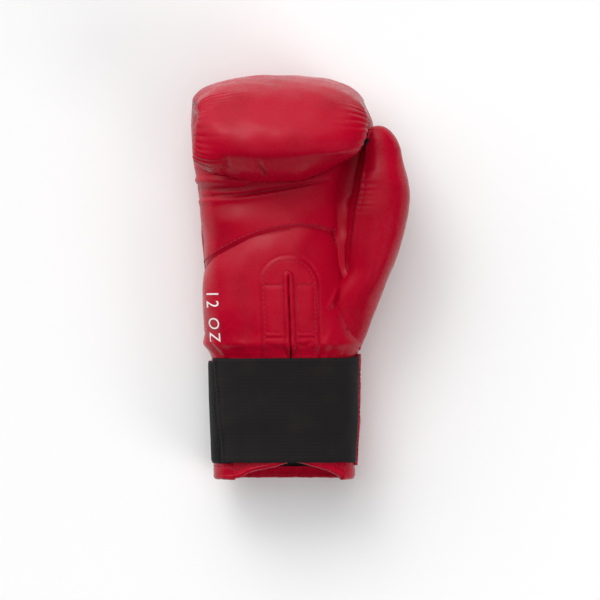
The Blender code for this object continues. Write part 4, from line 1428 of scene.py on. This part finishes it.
# --------------------------------------------------------------------------------------- the thumb
@dataclass
class Thumb:
    """The padded thumb, the strip of leather that joins it to the palm, and its tether."""

    shop: Workshop
    nose_y: float = 228.0
    tip_y: float = 253.5
    root_y: float = 152.0
    rings: Array = field(default_factory=lambda: np.array([
        (115.0, 42.9, 48.0, 16.0, 17.0, 67.0),
        (128.0, 45.8, 51.0, 14.8, 18.0, 45.0),
        (144.0, 48.2, 54.5, 14.8, 19.2, 22.0),
        (160.0, 51.9, 57.0, 17.6, 20.4, 6.0),
        (190.0, 57.2, 61.0, 20.8, 21.0, 0.0),
        (215.0, 60.0, 64.6, 18.2, 18.6, 0.0),
        (235.0, 59.8, 65.4, 14.0, 13.8, 0.0),
        (253.5, 57.5, 67.5, 14.0, 13.8, 0.0),
    ]))
    bend: Bend = ("thumb", (33.0, 110.0, 50.0), (46.0, 128.0, 50.0))
    mark_turn: float = 42.0
    strip_lift: float = 0.95
    finished: Array | None = None

    def ring(self, y: Array, turn: Array) -> Array:
        """Points round the thumb: 0 faces away from the palm, 90 up, 180 the fist, 270 down.

        Args:
            y: Distances from the cuff, in millimetres.
            turn: Angles round the thumb, in degrees.

        Returns:
            Points in millimetres.
        """
        y, turn = np.broadcast_arrays(np.asarray(y, float), np.asarray(turn, float))
        row = monotone(self.rings, y)
        along = np.clip((y - self.nose_y) / (self.tip_y - self.nose_y), 0, 1)
        size = np.sqrt(1 - along**2.4)
        slant, angle = np.radians(row[..., 4]), np.radians(turn)
        square = 0.92
        cosine = np.sign(np.cos(angle)) * np.abs(np.cos(angle)) ** square
        sine = np.sign(np.sin(angle)) * np.abs(np.sin(angle)) ** square
        aside = row[..., 2] * size * cosine
        return np.stack([
            row[..., 0] + aside * np.cos(slant),
            y - aside * np.sin(slant),
            row[..., 1] + row[..., 3] * size * sine,
        ], axis=-1)

    def root(self, turn: Array) -> Array:
        """The line on the hand's side where the thumb is sewn on.

        Args:
            turn: Angles round the thumb, in degrees.

        Returns:
            Points in millimetres.
        """
        angle = np.radians(turn)
        s = 121.5 - 29.5 * np.cos(angle)
        a = 3.0 + 37.0 * np.sin(angle)
        return FORM.skin(s, a) + FORM.facing(s, a) * 0.2

    def surface(self, share: Array, turn: Array) -> Array:
        """The thumb's skin from its root, at nought, to its tip, at one.

        Args:
            share: How far along the thumb, from nought to one.
            turn: Angles round the thumb, in degrees.

        Returns:
            Points in millimetres.
        """
        share, turn = np.broadcast_arrays(share, turn)
        foot = 0.22
        y = self.root_y + (self.tip_y - self.root_y) * np.sin(
            np.clip((share - foot) / (1 - foot), 0, 1) * math.pi / 2)
        tube = self.ring(y, turn)
        t = np.clip(share / foot, 0, 1)[..., None]
        start, end = self.root(turn), self.ring(np.full(turn.shape, self.root_y), turn)
        onward = (self.ring(np.full(turn.shape, self.root_y + 1.0), turn) - end) * 30
        chord = (end - start) * 0.9
        return np.where(share[..., None] < foot, bridge(start, end, chord, onward, t), tube)

    def skin(self) -> bpy.types.Object:
        """The padded skin, puckered along the seam beside its tip.

        Returns:
            The finished piece.
        """
        share = np.concatenate([np.linspace(0, 0.22, 44, endpoint=False), np.linspace(0.22, 0.997, 110)])[:, None]
        turn = np.linspace(-130, 230, 151)[None, :]
        point = self.surface(share, turn)
        normal = unit(np.cross(np.gradient(point, axis=1), np.gradient(point, axis=0)))
        panel = Panel(point, normal, np.broadcast_to(share * 150, point.shape[:2]),
                      np.broadcast_to(turn, point.shape[:2]))
        y = panel.y
        girth = 0.33
        seam = (panel.a - 137) * girth
        upper = smooth((y - 186) / 16) * smooth((252 - y) / 8)
        panel.shape(-1.2 * bell(seam, 1.5) * smooth((y - 150) / 20) * smooth((253 - y) / 6))
        ripple = pleats(y, 4.6, 51) - 0.5
        panel.shape(1.1 * upper * ripple * np.exp(-np.abs(seam + 3) / 6) * (seam < 1))
        panel.shape(0.7 * upper * ripple * np.exp(-np.abs(seam - 3) / 5) * (seam >= 1))
        lower = (panel.a + 62) * girth
        panel.shape(-1.0 * bell(lower, 1.4) * smooth((y - 140) / 20) * smooth((250 - y) / 8))
        panel.shape(0.35 * waves(panel.point, 30, 55), fine=False)
        held = np.maximum(1 - smooth((panel.s - 8) / 30), 1 - smooth(np.minimum(panel.left, panel.right) / 5))
        panel.inflate(3, 3.0, 0.5 * bell(seam, 9) * upper, held, 1.6)
        rows, columns = point.shape[:2]
        grid = self.finished = panel.point
        grid[:, -1] = grid[:, 0] = (grid[:, 0] + grid[:, -1]) / 2
        points = np.vstack([grid[:, :-1].reshape(-1, 3), grid[-1].mean(axis=0)[None]])
        detail = np.append(panel.detail[:, :-1].reshape(-1), 0)
        index = np.arange(rows * (columns - 1)).reshape(rows, columns - 1)
        nxt = np.roll(index, -1, axis=1)
        quads = np.stack([index[:-1], nxt[:-1], nxt[1:], index[1:]], axis=-1).reshape(-1, 4)
        piece = solid("thumb_cover", points, quads, self.shop.leather, wall=1.2, detail=detail)
        return settle(piece, Slot.LEATHER, "mitt", "thumb_outer_cover", "thumb_inner_panel", "thumb_foam",
                      "thumb_lining", bend=self.bend)

    def inner_edge(self, x: Array, y: Array) -> tuple[Array, Array]:
        """Points of the thumb's upper inner side nearest to places seen from above, and the skin's way there.

        Args:
            x: Places across, in millimetres.
            y: Distances from the cuff, in millimetres.

        Returns:
            The points, and a unit vector for each.
        """
        share = np.linspace(0, 0.95, 240)[:, None]
        turn = np.linspace(60, 178, 160)[None, :]
        cloud = self.surface(share, turn)
        across = np.gradient(cloud, axis=1).reshape(-1, 3)
        cloud = cloud.reshape(-1, 3)
        near = [int(np.argmin((cloud[:, 0] - px) ** 2 + (cloud[:, 1] - py) ** 2)) for px, py in zip(x, y)]
        return cloud[near], unit(across[near])

    def upper_side(self, x: Array, y: Array) -> Array:
        """Heights of the thumb's upper side at places seen from above, and a low one away from it.

        Args:
            x: Places across, in millimetres.
            y: Distances from the cuff, in millimetres.

        Returns:
            Heights in millimetres.
        """
        cloud = self.surface(np.linspace(0, 0.7, 150)[:, None], np.linspace(10, 178, 110)[None, :]).reshape(-1, 3)
        height = np.empty(x.shape)
        for i in range(len(x)):
            away = (x[i][:, None] - cloud[:, 0]) ** 2 + (y[i][:, None] - cloud[:, 1]) ** 2
            near = np.argmin(away, axis=1)
            height[i] = cloud[near, 2] - 6 * np.sqrt(away[np.arange(len(near)), near])
        return height

    def strip(self, palm: Palm) -> None:
        """The leather that bridges the palm and the thumb, a crevice by the fist and a stitched strip below it.

        Args:
            palm: The palm that it joins.
        """
        y = np.linspace(243, 92, 170)
        left = line(((243, 27.5), (215, 27.0), (186, 24.6), (157, 25.1), (142, 27.8), (130, 29.0), (117, 34.4),
                     (106.7, 39.0), (92, 42.5)), y)
        right = line(((243, 45.0), (215, 41.0), (186, 37.0), (160, 35.5), (143, 37.5), (128.5, 41.6), (119, 44.8),
                      (108, 47.0), (92, 48.0)), y)
        low = smooth((182 - y) / 14)[:, None]
        a = FORM.across(left, y)
        start = FORM.skin(y, a) + FORM.facing(y, a) * (-0.9 + 2.6 * low)
        leave = unit(FORM.skin(y, a - 1) - FORM.skin(y, a))
        end, arrive = self.inner_edge(right, y)
        for row in (start, end, arrive):
            relax(row, 12)
        end = end + (0, 0, 0.35)
        span = np.linalg.norm(end - start, axis=1, keepdims=True)
        leave, arrive = leave * span * (1.5 - 1.1 * low), -arrive * span * (1.2 - 0.8 * low)
        t = np.linspace(0, 1, 34)[None, :, None]
        point = bridge(*(v[:, None] for v in (start, end, leave, arrive)), t)
        rows = y < 184
        x, along = point[rows][..., 0], point[rows][..., 1]
        beneath = palm.on_palm(x.reshape(-1), along.reshape(-1))[:, 2].reshape(x.shape)
        thumb_z = self.upper_side(x, along)
        draped = point[rows][..., 2]
        for surface in (beneath, thumb_z):
            gap = draped - surface - self.strip_lift
            draped = surface + self.strip_lift + (gap + np.sqrt(gap * gap + 0.8)) / 2
        share = smooth((184 - along) / 10)
        point[rows, :, 2] = point[rows][..., 2] * (1 - share) + draped * share
        for _ in range(6):
            relax(point[..., 2], 1)
            relax(point[..., 2].T, 1)
        normal = unit(np.cross(np.gradient(point, axis=1), np.gradient(point, axis=0)))
        normal *= np.sign(normal[..., 2:3].mean())
        panel = Panel(point, normal, np.broadcast_to(y[:, None], point.shape[:2]).copy(), point[..., 0].copy())
        panel.shape(0.15 * waves(panel.point, 14, 61) * low)
        panel.shape(-0.9 * (bell(panel.left - 1.6, 0.8) + bell(panel.right - 1.6, 0.8)) * low)
        piece = panel.sew("thumb_strip", self.shop.leather, wall=1.0)
        bend = ("thumb", (26.0, 140.0, 60.0), (40.0, 140.0, 60.0))
        settle(piece, Slot.LEATHER, "mitt", bend=bend)
        rows = y < 180
        lines = [panel.point[rows, 5] + (0, 0, 0.2), panel.point[rows, -6] + (0, 0, 0.2)]
        sewn = self.shop.gun.sew("thumb_strip_stitches", lines, Pitch=3.2, Length=2.4, Radius=0.36)
        settle(sewn, Slot.LEATHER, "mitt", bend=bend)

    def tether(self) -> None:
        """The short elastic loop between the thumb's tip and the fist."""
        centres = np.linspace((37.5, 250.0, 87.5), (48.5, 240.5, 86.0), 14)
        centres[:, 2] += 0.8 * np.sin(np.linspace(0, math.pi, 14))
        width, thick = 4.2, 0.6
        side = np.cross((0, 0, 1.0), unit(centres[-1] - centres[0]))
        share = np.linspace(-1, 1, 12)
        top = centres[:, None] + side * share[None, :, None] * width + (0, 0, thick)
        normal = np.broadcast_to(np.array([0, 0, 1.0]), top.shape)
        panel = Panel(top, normal, np.zeros(top.shape[:2]), np.zeros(top.shape[:2]))
        piece = panel.sew("thumb_tether_loop", self.shop.elastic, wall=1.2)
        settle(piece, Slot.ELASTIC, "mitt", "thumb_tether",
               bend=("thumb", (37.0, 244.0, 77.0), (46.0, 240.0, 78.0)))

    def marks(self) -> None:
        """A plain row of printed dots along the outer side of the thumb."""
        column = int(np.argmin(np.abs(np.linspace(-130, 230, self.finished.shape[1]) - self.mark_turn)))
        rows = np.searchsorted(self.finished[:, column, 1], np.linspace(224, 199, 9))
        dots = self.finished[rows, column]
        beside = self.finished[rows, column + 1] - dots
        onward = self.finished[rows + 1, column] - dots
        faces: list[list[int]] = []
        points: list[Array] = []
        for centre, across, along in zip(dots, beside, onward):
            across, along = unit(across), unit(along)
            out = np.cross(across, along)
            out *= np.sign(out[2])
            turn = np.linspace(0, 2 * math.pi, 20, endpoint=False)
            first = len(points)
            points += [centre + out * 0.2 + across * math.cos(t) * 0.9 + along * math.sin(t) * 1.3 for t in turn]
            faces.append(list(range(first, first + 20)))
        mesh = bpy.data.meshes.new("thumb_dots")
        mesh.from_pydata(placed(points).tolist(), [], faces)
        shell = bmesh.new()
        shell.from_mesh(mesh)
        for f in shell.faces:
            f.normal_update()
            if f.normal.z < 0:
                f.normal_flip()
        shell.to_mesh(mesh)
        shell.free()
        mesh.materials.append(self.shop.ink)
        settle(link("thumb_dots", mesh), Slot.LEATHER, "mitt", bend=self.bend)


# ---------------------------------------------------------------------------------------- the cuff
@dataclass
class Cuff:
    """The fixed cuff, its hems and facings, and the linings."""

    shop: Workshop
    little_fold: float = 131.6
    thumb_fold: float = 396.4
    end: float = 89.0

    def cover(self) -> None:
        """The leather round the sides and back of the wrist."""
        s = np.linspace(0.2, self.end, 90)[:, None]
        panel = Panel.on_hand(s, FORM.angles(self.little_fold, self.thumb_fold, 190, 45)[None, :])
        panel.shape(0.35 * waves(panel.point * (1, 2.2, 1), 26, 71), fine=False)
        panel.shape(0.5 * (pleats(panel.left, 13, 72) - 0.5) * np.exp(-panel.high / 9))
        panel.shape(-0.5 * bell(panel.s - 7.5, 0.8))
        panel.shape(-1.8 * smooth((panel.s - 82) / 5), fine=False)
        panel.point[..., 2] = np.maximum(panel.point[..., 2], 0.4)
        piece = panel.sew("cuff_back_cover", self.shop.leather)
        settle(piece, Slot.LEATHER, "mitt", "cuff_cover", "cuff_foam_back", "cuff_foam_little_finger_side",
               "cuff_foam_thumb_side")
        a = FORM.angles(self.little_fold + 2, self.thumb_fold - 2, 200, 5)
        row = FORM.skin(np.full_like(a, 7.5), a) + FORM.facing(np.full_like(a, 7.5), a) * -0.25
        settle(self.shop.gun.sew("cuff_topstitch", [row]), Slot.LEATHER, "mitt")

    def hem(self) -> None:
        """The bound edge of the cuff and its facing inside."""
        a = FORM.angles(self.little_fold, self.thumb_fold, 200, 0)
        outer, inner = FORM.skin(np.zeros_like(a), a), FORM.skin(np.zeros_like(a), a, cavity=True)
        toward = unit(inner - outer)
        wobble = 1 + 0.04 * np.sin(np.arange(200) / 3.1) + 0.03 * np.sin(np.arange(200) / 1.3)
        piece = tube("cuff_hem_roll", outer + toward * 2.3, 2.35 * wobble, self.shop.leather, sides=16,
                     up=-toward)
        settle(piece, Slot.LEATHER, "mitt", "cuff_hem")
        s = np.linspace(0.4, 6.2, 10)[:, None]
        panel = Panel.on_hand(s, a[None, :], cavity=True)
        panel.shape(0.2 * waves(panel.point, 9, 74))
        panel.shape(-0.45 * smooth(panel.low / 3), fine=False)
        piece = panel.sew("cuff_edge_facing", self.shop.leather, wall=0.8, inward=True)
        settle(piece, Slot.LEATHER, "mitt", "cuff_facing")

    def flap_trim(self, palm: Palm) -> None:
        """Hems and linings of the two palm flaps, cut back in a wide V."""
        sides = ((-1, "little_finger_side", "little_finger_flap", self.little_fold - 1.2, -8.7),
                 (1, "thumb_side", "thumb_flap", 37.2, -5.9))
        for sign, where, body, fold_at, slit in sides:
            inner = float(FORM.across(np.array(slit), np.array(4.0)))
            a = np.linspace(inner, fold_at, 60)
            x = FORM.skin(np.zeros_like(a), a)[:, 0]
            back = palm.notch(x)
            outer, cavity = FORM.skin(back, a), FORM.skin(back, a, cavity=True)
            toward = unit(cavity - outer)
            wobble = 1 + 0.05 * np.sin(np.arange(60) / 2.3 + sign)
            hem = tube(f"flap_hem_roll_{where}", outer + toward * 1.9, 2.1 * wobble, self.shop.leather, sides=14,
                       up=-toward)
            settle(hem, Slot.LEATHER, body, f"flap_hem_{where}")
            rows = np.linspace(0, 1, 60)[:, None]
            s = (back + 1.0)[None, :] + (86 - back)[None, :] * rows
            order = slice(None) if sign < 0 else slice(None, None, -1)
            lining = Panel.on_hand(s[:, order], np.broadcast_to(a, s.shape)[:, order], cavity=True)
            lining.shape(0.15 * waves(lining.point, 10, 75), fine=False)
            cloth = lining.sew(f"flap_lining_cloth_{where}", self.shop.lining, wall=0.8, inward=True)
            settle(cloth, Slot.LINING, body, f"flap_lining_{where}")
            along = FORM.skin(back + 4.2, a) + FORM.facing(back + 4.2, a) * 0.3
            settle(self.shop.gun.sew(f"flap_topstitch_{where}", [along]), Slot.LEATHER, body)

    def linings(self) -> None:
        """The satin lining of the wrist and hand, and the grip bar sewn across the palm."""
        s = np.linspace(5.8, 88, 40)[:, None]
        a = FORM.angles(self.little_fold + 1, self.thumb_fold - 1, 120, 45)[None, :]
        panel = Panel.on_hand(s, a, cavity=True)
        panel.shape(0.3 * waves(panel.point, 14, 76), fine=False)
        piece = panel.sew("wrist_lining_cloth", self.shop.lining, wall=0.8, inward=True)
        settle(piece, Slot.LINING, "mitt", "cuff_lining")
        s = np.concatenate([np.linspace(88, 250, 60), np.linspace(252, 326, 28)])[:, None]
        a = np.linspace(182, 538, 150)[None, :]
        panel = Panel.on_hand(s, a, cavity=True)
        panel.shape(0.4 * waves(panel.point, 18, 77), fine=False)
        cell_s = (panel.s[:-1, :-1] + panel.s[1:, 1:]) / 2
        cell_a = (panel.a[:-1, :-1] + panel.a[1:, 1:]) / 2 - 360
        hole = (cell_s > 105) & (cell_s < 148) & (np.abs(cell_a - 3) < 32)
        slit = (cell_s < 147) & (np.abs(cell_a - 91) < 2)
        piece = panel.sew("hand_lining_cloth", self.shop.lining, wall=0.8, keep=~(hole | slit), inward=True)
        settle(piece, Slot.LINING, "mitt", "hand_lining_back", "hand_lining_palm")
        centres = np.stack([np.linspace(-44, 23, 40), np.full(40, 226.0), np.full(40, 57.0)], axis=-1)
        radius = 6.4 * (1 - 0.18 * np.abs(np.linspace(-1, 1, 40)) ** 6)
        bar = tube("grip_bar_cover", centres, radius, self.shop.lining, sides=24)
        settle(bar, Slot.LINING, "mitt", "grip_bar")


# ------------------------------------------------------------------------------------- the closure
@dataclass
class Closure:
    """The wide elastic strap, the loop panel that it grips and the binding over its sewn end."""

    shop: Workshop
    low: float = 10.5
    high: float = 86.5
    start: float = 9.0
    reach: float = 150.0

    def lift(self, a: Array) -> Array:
        """How far the strap's outer face stands off the skin."""
        return 2.0 + 2.8 * smooth((a - 92) / 36)

    def tab_end(self, s: Array) -> Array:
        """The strap's end is cut at a slant."""
        return 141.0 + (s - self.low) * 9.0 / 76

    def band(self) -> None:
        """The strap in two pieces that share an edge: its sewn end, and the rest out to the slanted tab."""
        rows = np.concatenate([self.low + np.array([0, 0.5, 1.2]), np.linspace(self.low + 2, self.high - 2, 54),
                               self.high - np.array([1.2, 0.5, 0])])[:, None]
        share = (FORM.angles(self.start, self.reach, 170, 45) - self.start) / (self.reach - self.start)
        a = self.start + (self.tab_end(rows) - self.start) * share[None, :]
        s = rows + 0.0 * a
        right = np.clip((40 - a) / 30, 0, 1)
        s = s + right * 1.2 * (rows > 50) - right * 1.0 * (rows < 20)
        panel = Panel.on_hand(s, a)
        height = np.where(a < 16, 1.5 + 0.5 * smooth((a - self.start) / 7), self.lift(a))
        edge = np.minimum(panel.low, panel.high)
        soft = 0.30 * waves(panel.point * (1, 1.6, 1), 44, 81) + 0.10 * waves(panel.point, 12, 82)
        panel.shape(height - 0.35 * bell(edge, 1.1) + 0.25 * bell(edge - 2.4, 1.3), fine=False)
        panel.shape(soft * smooth((a - 14) / 10), fine=False)
        panel.shape(-0.25 * bell(panel.right - 4, 0.8) - 0.3 * bell(panel.right, 1.2))
        split = int(np.searchsorted(share * 135 + 9, 42))
        columns = panel.point.shape[1] - 1
        cell = np.arange(columns)[None, :] + np.zeros((len(rows) - 1, 1), int)
        near = panel.sew("strap_sewn_end", self.shop.elastic, wall=1.4, keep=cell < split)
        settle(near, Slot.ELASTIC, "mitt", bend=("strap", (44.0, 45.0, 44.0), (41.0, 45.0, 53.0)))
        far = panel.sew("strap_elastic", self.shop.elastic, wall=1.4, keep=cell >= split)
        settle(far, Slot.ELASTIC, "strap", "strap_band", "strap_tab",
               bend=("strap_tab", (-34.0, 45.0, 70.0), (-44.0, 45.0, 66.0)))
        y = np.linspace(self.low + 3, self.high - 3, 60)
        inset = self.tab_end(y) - 3.6
        row = FORM.skin(y, inset) + FORM.facing(y, inset) * (self.lift(inset)[:, None] + 0.1)
        settle(StitchGun(self.shop.elastic).sew("strap_end_stitches", [row]), Slot.ELASTIC, "strap_tab")

    def patches(self) -> None:
        """The loop panel on the cuff, the hook patch under the tab and the leather binding."""
        s = np.linspace(9.6, 84.0, 70)[:, None]
        panel = Panel.on_hand(s, FORM.angles(132.4, 262, 110, 45)[None, :], lift=1.5)
        panel.shape(0.12 * waves(panel.point, 22, 91) * smooth(panel.edge / 2) - 0.7 * bell(panel.edge, 1.3),
                    fine=False)
        panel.point[..., 2] = np.maximum(panel.point[..., 2], 0.3)
        piece = panel.sew("loop_pile_panel", self.shop.loop, wall=1.2)
        settle(piece, Slot.LOOP, "mitt", "loop_panel")
        s = np.linspace(14, 82, 50)[:, None]
        share = np.linspace(0, 1, 14)[None, :]
        a = 133.0 + (self.tab_end(s) - 1.2 - 133.0) * share
        hook = Panel.on_hand(s, a)
        hook.shape(self.lift(hook.a) - 1.6, fine=False)
        piece = hook.sew("hook_tape_patch", self.shop.hook, wall=1.0)
        settle(piece, Slot.HOOK, "strap_tab", "hook_patch")
        s = np.linspace(8, 89, 70)[:, None]
        panel = Panel.on_hand(s, np.linspace(-2, 11.5, 16)[None, :], lift=2.3)
        panel.shape(0.2 * waves(panel.point, 10, 92))
        panel.turned_edge(np.minimum(panel.left, panel.right), 1.0, 1.4)
        piece = panel.sew("strap_end_cover", self.shop.leather, wall=1.2)
        settle(piece, Slot.LEATHER, "mitt", "strap_end_binding")
        y, a = np.linspace(9, 88, 60), np.full(60, self.start)
        row = FORM.skin(y, a) + FORM.facing(y, a) * 2.25
        settle(self.shop.gun.sew("strap_end_cover_stitches", [row]), Slot.LEATHER, "mitt")


# ---------------------------------------------------------------------------------------- the studio
@dataclass
class Studio:
    """A pale floor, soft light from the upper left, and a camera straight overhead."""

    wide_mm: float = 435.4
    plane_mm: float = 66.0
    height_m: float = 4.0
    aim: tuple[float, float] = (0.7, -16.0)
    window: tuple[float, float, float] = (-0.42, 0.76, 0.50)
    dim: float = 0.07
    bright: float = 1.85
    power: float = 58.0
    overhead: float = 32.0
    side: float = 32.0

    def floor(self) -> None:
        """A wide matt floor."""
        mesh = bpy.data.meshes.new("floor")
        corners = [(-3.0, -3.0, 0), (3.0, -3.0, 0), (3.0, 3.0, 0), (-3.0, 3.0, 0)]
        mesh.from_pydata(corners, [], [(0, 1, 2, 3)])
        look = bpy.data.materials.new("studio_floor")
        look.use_nodes = True
        shader = look.node_tree.nodes["Principled BSDF"]
        shader.inputs["Base Color"].default_value = linear("#f4f4f4")
        shader.inputs["Roughness"].default_value = 0.9
        shader.inputs["Specular IOR Level"].default_value = 0.1
        mesh.materials.append(look)
        made = link("floor", mesh)
        made.location.z = -0.0002

    def lamp(self, name: str, place: tuple[float, float, float], size: float, power: float,
             mirrored: bool = True) -> None:
        """A square soft box that faces the glove; one that isn't mirrored lights it without a highlight.

        Args:
            name: The object's name.
            place: Where it stands, in metres.
            size: Its width, in metres.
            power: Its power, in watts.
            mirrored: Whether it shows in highlights.
        """
        data = bpy.data.lights.new(name, "AREA")
        data.shape = "SQUARE"
        data.size = size
        data.energy = power
        made = link(name, data)
        made.visible_glossy = mirrored
        made.location = place
        made.rotation_euler = (Vector((0, 0, 0.05)) - Vector(place)).to_track_quat("-Z", "Y").to_euler()

    def light(self) -> None:
        """A surround that is bright toward the upper left, a soft box there and two that fill."""
        world = bpy.data.worlds.new("studio")
        world.use_nodes = True
        tree = world.node_tree
        way = add(tree, "ShaderNodeTexCoord").outputs["Generated"]
        toward = add(tree, "ShaderNodeVectorMath", {0: way, 1: self.window}, operation="DOT_PRODUCT")
        glow = add(tree, "ShaderNodeMapRange", {"Value": toward.outputs["Value"], "From Min": 0.54,
                   "From Max": 0.86, "To Min": self.dim, "To Max": self.bright})
        tree.links.new(glow.outputs["Result"], tree.nodes["Background"].inputs["Strength"])
        tree.nodes["Background"].inputs["Color"].default_value = (1, 1, 1, 1)
        bpy.context.scene.world = world
        self.lamp("key", (-1.7, 3.1, 3.4), 2.2, self.power)
        self.lamp("overhead", (0.3, -0.3, 3.2), 2.6, self.overhead, mirrored=False)
        self.lamp("side", (2.2, -1.6, 1.9), 1.6, self.side, mirrored=False)

    def camera(self) -> None:
        """A long lens, so that height hardly changes the scale."""
        data = bpy.data.cameras.new("camera")
        data.sensor_width = 36.0
        data.lens = 36.0 * (self.height_m / MM - self.plane_mm) / self.wide_mm
        data.clip_end = 50
        made = link("camera", data)
        made.location = (self.aim[0] * MM, self.aim[1] * MM, self.height_m)
        bpy.context.scene.camera = made
        bpy.context.scene.view_settings.view_transform = "Standard"


def main() -> None:
    """Builds the glove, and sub-assembly by sub-assembly."""
    logging.basicConfig(level=logging.INFO, format="%(message)s")
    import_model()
    shop = Workshop.open()
    fist = Fist(shop)
    fist.cover()
    fist.underside()
    palm = Palm(shop)
    palm.finger_panel()
    palm.heel()
    palm.slit_lips()
    palm.gusset()
    palm.stitching()
    palm.print_mark()
    thumb = Thumb(shop)
    thumb.skin()
    thumb.strip(palm)
    thumb.tether()
    thumb.marks()
    cuff = Cuff(shop)
    cuff.cover()
    cuff.hem()
    cuff.flap_trim(palm)
    cuff.linings()
    closure = Closure(shop)
    closure.band()
    closure.patches()
    studio = Studio()
    studio.floor()
    studio.light()
    studio.camera()


if __name__ == "__main__":
    main()
